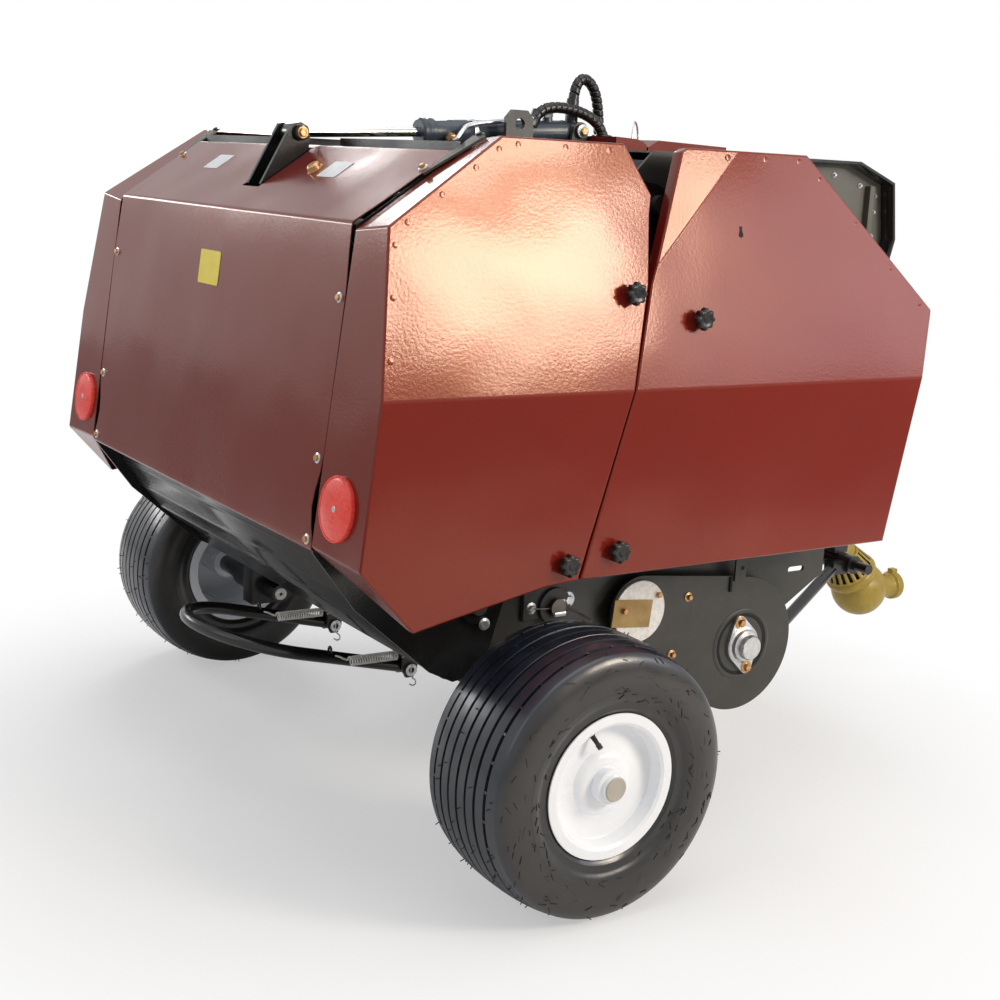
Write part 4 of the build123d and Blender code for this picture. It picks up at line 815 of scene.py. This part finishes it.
plate = np.vstack([circle(514, 312, 130, -126, 84, 60), [(500, 446)], circle(270, 405, 66, 88, 222, 24),
                   [(300, 322), (440, 214)]])
flange = outline_hull([(520, 311, 37), (508.5, 356, 13), (531.5, 266, 13)])
tilt = np.radians(-6)
blank = np.array([(-43, -25), (43, -25), (43, 25), (-43, 25)]) @ [[np.cos(tilt), np.sin(tilt)],
                                                                 [-np.sin(tilt), np.cos(tilt)]]
for side, hand in SIDES:
    out = np.array((0, side, 0.0))
    make(f"pickup_plate_{hand}", clad(charcoal, side_plate(plate, side, 512.5, PLATE_Y)), "root",
         "pickup_sides" if side > 0 else None, bevel=1.2)
    # turned lip round the bearing's recess
    middle = np.array((520, side * PLATE_Y, 311.0))
    lip, floor, step = [lathe(profile, middle, out, 64) for profile in (
        [(-1, 60), (1.2, 61), (2.2, 63.5), (1.6, 66.5), (0.6, 69), (-1, 70)],
        [(-0.2, 0), (0.15, 0), (0.15, 59.5), (-0.2, 60)],
        [(0, 53), (0.5, 54), (0.5, 59), (0, 60)])]
    # the step ring is painted shade round the recess floor
    parts = clad(charcoal, lip, floor) + clad(hollow_shade, step)
    # two-bolt flange bearing
    parts += clad(zinc, side_plate(flange, side, PLATE_Y + 0.2, PLATE_Y + 7),
                  lathe([(6, 0), (6, 36), (8, 35.5), (10, 31), (17, 29.5), (19, 27), (19, 0)], middle, out),
                  lathe([(18, 0), (18, 24.5), (27, 23.6), (29.6, 21.5), (30.4, 17), (30.6, 0)],
                        (522, side * PLATE_Y, 310), out))
    for x, z in ((508.5, 356), (531.5, 266)):
        parts += clad(gold, *hex_bolt((x, side * (PLATE_Y + 7), z), out, 7, 7))
    # inspection disc, its brass plate and the bolts
    parts += clad(galvanised, lathe([(0.2, 0), (0.2, 57), (3.6, 57), (4.2, 56.2), (4.2, 0)],
                                    (265, side * PLATE_Y, 406), out, 64))
    parts += clad(brass, side_plate(blank + (246, 405), side, PLATE_Y + 4.2, PLATE_Y + 7.2))
    for x, z, lift in ((305, 433, 4.2), (226, 413, 7.4), (380, 419, 0), (350, 313, 0)):
        parts += clad(gold, *hex_bolt((x, side * (PLATE_Y + lift), z), out, 5.0, 7, washer=lift == 0))
    # hanger with its slot and bolt hole, both painted shade: dark plates in flat black
    hanger, slot = [side_plate([(x0, z0), (x1, z0), (x1, z1), (x0, z1)], side, PLATE_Y + 0.2, PLATE_Y + 4)
                    for x0, x1, z0, z1 in ((488, 514, 438, 500), (478, 483, 418, 446))]
    hole = rod((505, side * (PLATE_Y + 3), 462), (505, side * (PLATE_Y + 4.6), 462), 4, 16)
    parts += clad(charcoal, hanger) + clad(hollow_shade, slot, hole)
    make(f"pickup_fittings_{hand}", parts, "root", sharp=35)

# ---- tailgate's latch and wall fittings
for side, hand in SIDES:
    out = np.array((0, side, 0.0))
    parts = []
    for x, z, size in ((41, 433, 6), (118, 440, 8)):
        parts += clad(zinc, *hex_bolt((x, side * 502, z), out, size, 5))
    # folded keeper whose lower edge is rolled round a pin, with a cable through it
    parts += clad(zinc, side_plate([(83, 424), (103, 424), (103, 427), (83, 427)], side, 502.2, 516),
                  side_plate([(83, 424), (103, 424), (103, 446), (83, 446)], side, 513.5, 516),
                  rod((81, side * 513, 421), (105, side * 513, 421), 6, 20, 1))
    cable = [(44, side * 508, 433), (70, side * 512, 431), (94, side * 516, 432), (122, side * 514, 424),
             (150, side * 508, 410), (172, side * 500, 396)]
    parts += clad(nylon, bent_wire(cable, 1.3, (0, 1, 0.01)))
    make(f"latch_keeper_{hand}", parts, "root")
    bolts = hex_bolt((-59, side * 510.5, 420), out, 6, 5) + hex_bolt((-238, side * 500.2, 560), out, 6, 5)
    make(f"tailgate_wall_bolts_{hand}", clad(zinc, *bolts), "tailgate")


# ---- cylinder, pipe and hoses
run = unit(ROD_PIN - BASE_PIN)
rise = np.cross((0, 1, 0), run)


def on_barrel(reach, across=0.0, up=0.0):
    """A point by the cylinder: reach from the base pin towards the rod, across to the left, up."""
    return BASE_PIN + run * reach + np.array((0, across, 0)) + rise * up


barrel = [(10, 0), (10, 17), (22, 21), (26, 22), (30, 21), (250, 21), (252, 22.2), (292, 22.2), (294, 21),
          (326, 21), (328, 25), (334, 26), (338, 24.6), (341, 24.6), (344, 26), (353, 26), (357, 23),
          (357, 9.2), (330, 9.2), (330, 0)]
port = [(16, 0), (16, 10.5), (26, 10), (27, 8), (33, 8), (33, 0)]
union = [(27, 0), (27, 11), (37, 11), (38, 9.5), (38, 0)]
band = [(-4, 21.2), (-4, 23.4), (4, 23.4), (4, 21.2), (-4, 21.2)]
parts = clad(steel_blue, lathe(barrel, BASE_PIN, run),
             rod(BASE_PIN - [0, 20, 0], BASE_PIN + [0, 20, 0], 17, 40, 1))
aside = unit((0, -1, -0.45))
for reach, way, nut in ((60, rise, zinc), (300, aside, gold)):
    parts += clad(steel_blue, lathe(port, on_barrel(reach), way, 24))
    parts += clad(nut, lathe(union, on_barrel(reach), way, 6))
pipe = [on_barrel(300) + 32 * aside, on_barrel(300) + 46 * aside, on_barrel(284, -40, 2),
        on_barrel(262, -29, 14), on_barrel(180, -24, 20), on_barrel(112, -20, 24), on_barrel(98, -14, 28),
        on_barrel(86, 0, 30), on_barrel(66, 0, 33)]
parts += clad(zinc, bent_wire(pipe, 4.6, (0.1, 0.3, 1), 12))
parts += clad(zinc, *[lathe(band, on_barrel(reach), run) for reach in (122, 240)])
make("cylinder_barrel_dressed", parts, "cylinder_barrel", "cylinder_barrel", sharp=35)
parts = clad(chrome, rod(on_barrel(250), ROD_PIN + run * -14, 9, 40))
parts += clad(black, rod(ROD_PIN - [0, 20, 0], ROD_PIN + [0, 20, 0], 17, 40, 1),
              lathe([(12, 0), (12, 13), (24, 12), (28, 9.4), (28, 0)], ROD_PIN, -run, 32))
make("cylinder_rod_dressed", parts, "cylinder_rod", "cylinder_rod", sharp=35)

# pins, washers and their bolts
rod_pin, base_pin = [], []
for side in (-1, 1):
    out = np.array((0, side, 0.0))
    foot = ROD_PIN + out * 37
    rod_pin += clad(black, lathe([(-7, 0), (-7, 13.5), (1.6, 13.5), (2, 12.5), (2, 0)], foot, out, 32))
    rod_pin += clad(gold, lathe([(2, 0), (2, 10.5), (4.4, 10.2), (4.4, 0)], foot, out, 32), lathe(
        [(4.4, 0), (4.4, 8.2), (9, 8.2), (9.8, 7), (9.8, 5), (8.2, 4.6), (8.2, 0)], foot, out, 6))
    foot = BASE_PIN + out * 36
    base_pin += clad(zinc, lathe([(0, 0), (0, 13.5), (2.4, 13.5), (3, 12.5), (3, 0)], foot, out, 32))
    base_pin += clad(gold, lathe([(3, 0), (3, 7.6), (9, 7.6), (9.8, 6.4), (9.8, 0)], foot, out, 6))
make("rod_pin", rod_pin, "tailgate", sharp=35)
make("base_pin", base_pin, "root", sharp=35)


def wrapped_hose(points):
    """A hose in spiral wrap: a ring whose radius is 10.9, less up to 2.2 in the narrow valley between
    the wrap's turns, which comes every 13 mm along s and moves round with the angle."""
    path = smooth_path(points, count=24)

    def size(s, t):
        phase = (s / 13.0 + t / (2 * np.pi)) % 1.0
        return 10.9 - 2.2 * np.clip(1 - np.minimum(phase, 1 - phase) / 0.16, 0, 1) ** 1.5
    # even steps along the path
    reach = np.concatenate([[0], np.cumsum(np.linalg.norm(np.diff(path, axis=0), axis=1))])
    even = np.linspace(0, reach[-1], int(reach[-1] / 0.9))
    path = np.stack([np.interp(even, reach, path[:, k]) for k in range(3)], -1)
    return tube(path, size, hint=(0.02, 1, 0), steps=28)


feed = [(328, -14, 1261.5), (340, -14, 1280), (372, -15, 1290), (420, -16, 1288), (462, -18, 1276),
        (488, -18, 1258), (497, -18, 1238.5)]
back = [(436, 10, 1263.5), (437, 10, 1310), (446, 11, 1343), (466, 12, 1352), (490, 13, 1335),
        (506, 15, 1295), (512, 16, 1238.5)]
parts = clad(wrap, wrapped_hose(feed), wrapped_hose(back))
parts += clad(nylon, lathe([(-12, 0), (-12, 12.5), (4, 12.5), (6, 11), (20, 11), (20, 0)], (328, -14, 1262),
                           (0.5, 0, 1), 6),
              lathe([(-4, 0), (-4, 12.4), (0, 12.8), (42, 12.8), (46, 11.8), (46, 0)], (436, 10, 1264),
                    (0.02, 0, 1), 32))
hoses = make("wrapped_hoses", parts, None, "hoses", sharp=60)
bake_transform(hoses)
grommets = [lathe([(-3, 11), (-3, 17), (2, 18), (4, 16), (4.5, 11.4), (-3, 11)], (x, y, 1238.2),
                  (0, 0, 1), 32) for x, y in ((498, -18), (512, 16))]
make("hose_grommets", clad(nylon, *grommets), "root")


# ---- ramp and its springs
rise_angle = np.radians(14)


def on_ramp(reach, y, up=0.0):
    """A point on the bale ramp, reach rearward of its pivots along the slope."""
    return np.array((-reach * np.cos(rise_angle), y, RAMP_Z + reach * np.sin(rise_angle) + up))


arc = np.radians(np.linspace(-90, 90, 60))
bend = np.stack([223 + RAMP_Y * np.cos(arc), RAMP_Y * np.sin(arc)], -1)
legs = [np.stack([reach, np.full(20, y)], -1) for reach, y in ((np.linspace(0, 222, 20), -RAMP_Y),
                                                               (np.linspace(222, 0, 20), RAMP_Y))]
line = np.vstack([legs[0], bend, legs[1]])
ramp_path = np.stack([on_ramp(reach, y) for reach, y in line])
hint = np.array((np.sin(rise_angle), 0, np.cos(rise_angle)))
parts = clad(black, tube(ramp_path, 12, hint, 28))
clips = []
for side in (-1, 1):
    y = side * RAMP_Y
    parts += clad(black, rod((0, y - 13.6, RAMP_Z), (0, y + 13.6, RAMP_Z), 13.2, 32, 0.8))
    # staple that takes the spring's hook
    staple = [on_ramp(166, y + across, up) for across, up in ((-6, 10), (-5, 20), (5, 20), (6, 10))]
    parts += clad(black, bent_wire(staple, 2.2, (1, 0, 0)))
    for edge in (-26.1, 24.5):
        clips.append(lathe([(0, 6.1), (0, 12), (1.6, 12), (1.6, 6.1), (0, 6.1)], (0, y + edge, RAMP_Z),
                           (0, 1, 0), 28))
    clip = [(0, 0, 240), (-3, 0, 226), (1, 0, 214), (9, -1, 209), (10, 0, 200), (2, 0, 197), (-4, 0, 203)]
    clips.append(bent_wire(np.array(clip) + (0, y - 26, 0), 1.4, (0, 1, 0)))
make("bale_ramp", parts, "ramp", "ramp", sharp=40)
make("ramp_pins", clad(zinc, *clips), "root")
for side, hand in SIDES:
    y = side * RAMP_Y - 22
    near, far = np.array((-32.0, y, 262)), np.array((-131.0, y, 264))
    hook = [far + offset for offset in ((0, 7.8, 0), (-8, 6, 3), (-17, 8, 9), (-28, 16, 10), (-34, 22, 4),
                                        (-30, 22, -4), (-22, 16, -6))]
    tail = [near + offset for offset in ((0, 7.8, 0), (6, 4, 1), (11, 2, 5), (19, 2, 5), (23, 2, -3),
                                         (14, 2, -7))]
    parts = clad(galvanised, coil(far, near, 7.8, 1.8, 19), bent_wire(hook, 1.8, (0, 0.1, 1)),
                 bent_wire(tail, 1.8, (0, 1, 0.1)))
    spring = make(f"ramp_spring_{hand}", parts, None, "ramp_springs" if side > 0 else None)
    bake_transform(spring)

# bright washers on the axle stubs' inner ends, each with a centre hole
washers = [lathe([(-6, 9), (-6, 13.6), (0, 14), (3, 13), (3.4, 4), (-1, 3.6), (-1, 0)],
                 (0, side * 393, TYRE_R), (0, -side, 0), 40) for side in (-1, 1)]
make("stub_washers", clad(galvanised, *washers), "root")


# ---- drive shaft and its guard
drop = np.radians(51.5)
shaft_dir = np.array((np.cos(drop), 0, -np.sin(drop)))
NEAR = np.array((940.0, 0, 760))
LENGTH = 727
WINDOWS = 20                # round each bell of the guard
FAR = NEAR + shaft_dir * LENGTH


def slotted_cone(a, ra, b, rb):
    """A cone between two rings, with long windows in its middle part."""
    t = np.linspace(0, 2 * np.pi, WINDOWS * 4, endpoint=False)
    s = np.array((0, 0.1, 0.5, 0.9, 1.0))
    u, v = side_axes(shaft_dir)
    ring = np.cos(t)[:, None] * u + np.sin(t)[:, None] * v
    points = (NEAR + (a + s * (b - a))[:, None, None] * shaft_dir
              + (ra + s * (rb - ra))[:, None, None] * ring[None])
    keep = np.ones((4, WINDOWS * 4), bool)
    keep[1:3, 0::4] = keep[1:3, 1::4] = False
    return grid(points, closed=True, keep=keep)


def from_end(*profile):
    """A profile whose places along the shaft are counted from its far end."""
    return [(LENGTH + place, radius) for place, radius in profile]


def on_shaft(profile, steps=64):
    """A profile turned about the shaft."""
    return lathe(profile, NEAR, shaft_dir, steps)


closing = np.radians(np.linspace(-32, 88, 26))
ball = [(67.5 * np.sin(a), 67.5 * np.cos(a)) for a in closing]
parts = clad(guard, on_shaft([(30, 12), (30, 30), *from_end((-170, 30), (-170, 27))], 48),
             # near bell
             on_shaft([(24, 40), (22, 55), (30, 57), (34, 55.5), (38, 55.5)]),
             on_shaft([(84, 42), (90, 41), (94, 44), (100, 44), (104, 38), (132, 36), (136, 30)]),
             # far collar, bead and bell, a ball 67.5 mm in radius that closes towards the tractor
             on_shaft(from_end((-192, 30), (-190, 38), (-176, 39), (-172, 36), (-150, 36.5), (-146, 40),
                               (-134, 41), (-128, 38.5), (-120, 38.5))),
             on_shaft(from_end((-64, 58), (-60, 62.5), (-54, 64), (-48, 63), *ball, (67.5, 0))))
# end collar and its push pin
collar = FAR - [0, 0, 6]
parts += clad(guard, lathe([(48, 41), (60, 36.5), (70, 30), (78, 28), (104, 28), (107, 30), (109, 34),
                            (112, 35), (124, 35), (127.6, 33.5), (127.6, 23), (100, 22), (100, 0)], collar,
                           (1, 0, 0), 48),
              prism([(-9, -8), (9, -8), (9, 8), (-9, 8)], collar + [117, 0, 30], (1, 0, 0), (0, 1, 0), 13))
parts += clad(gold, rod(collar + [92, 0, 23], collar + [92, 0, 33], 4.5, 20, 1))
make("shaft_guard_dressed", parts, "drive_shaft", "shaft_guard", sharp=40)
make("guard_windows", clad(guard, slotted_cone(38, 55.5, 84, 42),
                           slotted_cone(LENGTH - 120, 38.5, LENGTH - 64, 58)),
     "drive_shaft", thick=2.2, sharp=30, seams=False)
# painted shade filling the bells' mouths, where the joints sit in shadow
make("shade_in_guard_bells", clad(hollow_shade, on_shaft([(36, 0), (36, 50), (84, 36), (84, 0)], 32),
                            on_shaft(from_end((-122, 0), (-122, 33), (-64, 52), (-64, 0)), 32)),
     "drive_shaft")
# clip wire round the collar, and the yoke's fork at the gearbox
u, v = side_axes(shaft_dir)
t = np.radians(np.linspace(-30, 200, 50))
wire = NEAR + shaft_dir * (LENGTH - 160) + 39 * (np.cos(t)[:, None] * u + np.sin(t)[:, None] * v)
parts = clad(zinc, tube(wire, 2.6, shaft_dir, 10))
for side in (-1, 1):
    foot = NEAR + np.array((0, side * 28, 0))
    parts += clad(cast, rod(foot - shaft_dir * 2, foot + shaft_dir * 42, 7.5, 20, 1),
                  rod(NEAR + [0, side * 22, 0], NEAR + [0, side * 34.5, 0], 14, 28, 1.2))
parts += clad(cast, rod(NEAR + shaft_dir * 34, NEAR + shaft_dir * 60, 36, 32, 3))
make("shaft_fork", parts, "drive_shaft", sharp=35)


# ---- twine box's ends
box_outline = np.array([(560, 1211.5), (738, 1211.5), (833, 1176), (849, 1070), (838, 1030), (743, 1030),
                        (743, 1010.5), (560, 1010.5)])
middle = box_outline.mean(axis=0)
for side, hand in SIDES:
    # the end's edge: rings of the outline drawn in towards its middle, at distances from the middle plane
    rings = [(0.992, 498.2), (0.955, 498.2), (0.935, 494.5), (0.935, 466.5)]
    points = []
    for share, reach in rings:
        x, z = (middle + (box_outline - middle) * share).T
        points.append(np.stack([x, 0 * x + side * reach, z], -1))
    parts = clad(black, grid(np.stack(points), closed=True, flip=side > 0))
    inner = middle + (box_outline - middle) * 0.94
    parts += clad(grey_enamel, side_plate(inner, side, 466, 468),
                  side_plate([(788, 1052), (800, 1052), (800, 1168), (788, 1168)], side, 468, 480))
    for x, z in ((770, 1168), (812, 1150), (812, 1120), (812, 1075), (700, 1185)):
        parts += clad(zinc, *hex_bolt((x, side * 468, z), (0, side, 0), 2.8, 4))
    make(f"twine_box_end_{hand}", parts, "root", seams=False)
# wire bail on the lid
bail = [(548, -48, 1230), (550, -46, 1262), (566, -30, 1276), (588, -14, 1260), (592, -12, 1234)]
make("lid_bail", clad(zinc, bent_wire(bail, 2.0, (0.1, 1, 0.1), 10)), "root")


# ---- finishes of the kept solids
kept = {
    charcoal: ("frame_walls", "axle_beam", "top_beams", "feed_floor"),
    black: ("tailgate_walls", "tailgate_tubes", "deck", "twine_box", "hitch_crossbar", "hitch_legs",
            "hitch_arms", "shaft_saddle", "axle_stubs"),
    maroon: ("front_panel", "top_lid"),
    drum: ("frame_chain", "tailgate_chain", "pickup_reel", *[f"front_roller_{n}" for n in range(1, 5)],
           *[f"rear_roller_{n}" for n in range(1, 7)]),
    cast: ("gearbox",),
    zinc: ("stand",),
}
for look, names in kept.items():
    for name in names:
        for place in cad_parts[name].material_slots:
            place.material = look


# ---- studio
WORLD_LEVEL = 0.28          # how much of the white surround lights the machine
MIRRORED_LEVEL = 0.6        # and how much of it is mirrored
FLOOR_HALF = 20.0
LENS = 55.246
CAMERA_AT = (-1.99469, -2.56691, 1.16615)
CAMERA_TURN = (56.05835, -12.17913, 2.92260)    # yaw, pitch and roll in degrees
# name, place, aimed at, width, height, brightness of its face, colour
SOFT_BOXES = [
    ("overhead box", (-0.6, -0.8, 4.2), (-0.3, 0, 0.6), 3.6, 3.6, 1.4, "#FFFFFF"),
    ("side box", (1.19, -3.3, 1.92), (-0.3, -0.6, 1.0), 0.98, 0.38, 31, "#FFF0DE"),
    ("low side box", (1.42, -3.3, 1.66), (-0.3, -0.6, 1.0), 0.5, 0.16, 26, "#FFF0DE"),
    ("corner box", (1.55, -3.4, 2.93), (-0.3, -0.6, 1.1), 0.55, 0.42, 24, "#FFF0DE"),
    ("upper side box", (1.2, -3.4, 2.45), (-0.3, -0.6, 1.1), 0.96, 0.26, 25, "#FFF0DE"),
    ("wide side box", (2.95, -3.2, 1.95), (0.2, -0.5, 0.9), 2.1, 1.0, 3.0, "#E2EBFF"),
    ("far box", (0.72, 3.2, 2.2), (-0.7, -0.4, 1.1), 1.3, 1.2, 8.0, "#FFFFFF"),
    ("edge box", (-2.3, 3.2, 1.7), (-0.9, 0, 1.07), 1.6, 0.6, 7.0, "#FFFFFF"),
    ("back box", (-4.0, -0.6, 2.6), (-0.6, 0, 0.8), 2.4, 2.0, 0.8, "#FFFFFF"),
]


def surround():
    """A white world: full white to the camera, dimmer in mirrors, and dimmer still as a light."""
    world = bpy.data.worlds.new("white surround")
    bpy.context.scene.world = world
    world.use_nodes = True
    tree = world.node_tree
    ground = tree.nodes["Background"]
    ray = node(tree, "LightPath").outputs
    mirrored = node(tree, "Math", ray["Is Glossy Ray"], MIRRORED_LEVEL, operation="MULTIPLY")
    seen = node(tree, "Math", ray["Is Camera Ray"], mirrored, operation="MAXIMUM")
    level = node(tree, "MapRange", Value=seen, To_Min=WORLD_LEVEL, To_Max=1.0)
    put(tree, ground.inputs["Strength"], level)
    ground.inputs["Color"].default_value = (1, 1, 1, 1)


def pale_floor():
    """A flat pale floor which, seen by the camera, runs into a plain white sweep away from the
    machine."""
    size = FLOOR_HALF
    mesh = bpy.data.meshes.new("floor")
    mesh.from_pydata([(-size, -size, 0), (size, -size, 0), (size, size, 0), (-size, size, 0)], [],
                     [(0, 1, 2, 3)])
    floor = placed("floor", mesh)
    look = bpy.data.materials.new("white floor")
    look.use_nodes = True
    tree = look.node_tree
    paper = tree.nodes["Principled BSDF"]
    for key, value in (("Base Color", "#F7F7F7"), ("Roughness", 0.9), ("Specular IOR Level", 0.1)):
        put(tree, paper.inputs[key], value)
    place = node(tree, "TexCoord").outputs["Object"]
    middle = node(tree, "VectorMath", place, (0.4, 0.05, 0), operation="ADD")
    distance = node(tree, "VectorMath", middle, operation="LENGTH").outputs["Value"]
    far = node(tree, "MapRange", Value=distance, interpolation_type="SMOOTHSTEP", From_Min=0.7, From_Max=1.5,
               To_Min=0.45)
    seen = node(tree, "LightPath").outputs["Is Camera Ray"]
    share = node(tree, "Math", far, seen, operation="MULTIPLY")
    white = node(tree, "Emission", Strength=1.0)
    mix = node(tree, "MixShader", share, paper, white)
    put(tree, tree.nodes["Material Output"].inputs["Surface"], mix)
    mesh.materials.append(look)


def soft_box(name, position, target, width, height, level, colour):
    """A rectangular area light whose face has a given brightness."""
    lamp = bpy.data.lights.new(name, "AREA")
    lamp.shape, lamp.size, lamp.size_y = "RECTANGLE", width, height
    lamp.energy, lamp.color = level * np.pi * width * height, linear(colour)[:3]
    holder = placed(name, lamp)
    holder.location = position
    holder.rotation_euler = (Vector(target) - Vector(position)).to_track_quat("-Z", "Y").to_euler()


def camera():
    """The camera, looking along its yaw and pitch and rolled about that line."""
    lens = bpy.data.cameras.new("camera")
    lens.lens, lens.sensor_width = LENS, 36
    holder = placed("camera", lens)
    yaw, pitch, roll = np.radians(CAMERA_TURN)
    forward = np.array((np.cos(pitch) * np.cos(yaw), np.cos(pitch) * np.sin(yaw), np.sin(pitch)))
    level_right = unit(np.cross(forward, (0, 0, 1)))
    level_up = np.cross(level_right, forward)
    right = level_right * np.cos(roll) + level_up * np.sin(roll)
    up = level_up * np.cos(roll) - level_right * np.sin(roll)
    turn = Matrix(np.stack([right, up, -forward], -1).tolist()).to_4x4()
    holder.matrix_world = Matrix.Translation(CAMERA_AT) @ turn
    bpy.context.scene.camera = holder


surround()
pale_floor()
for soft in SOFT_BOXES:
    soft_box(*soft)
camera()
bpy.context.scene.view_settings.view_transform = "Standard"
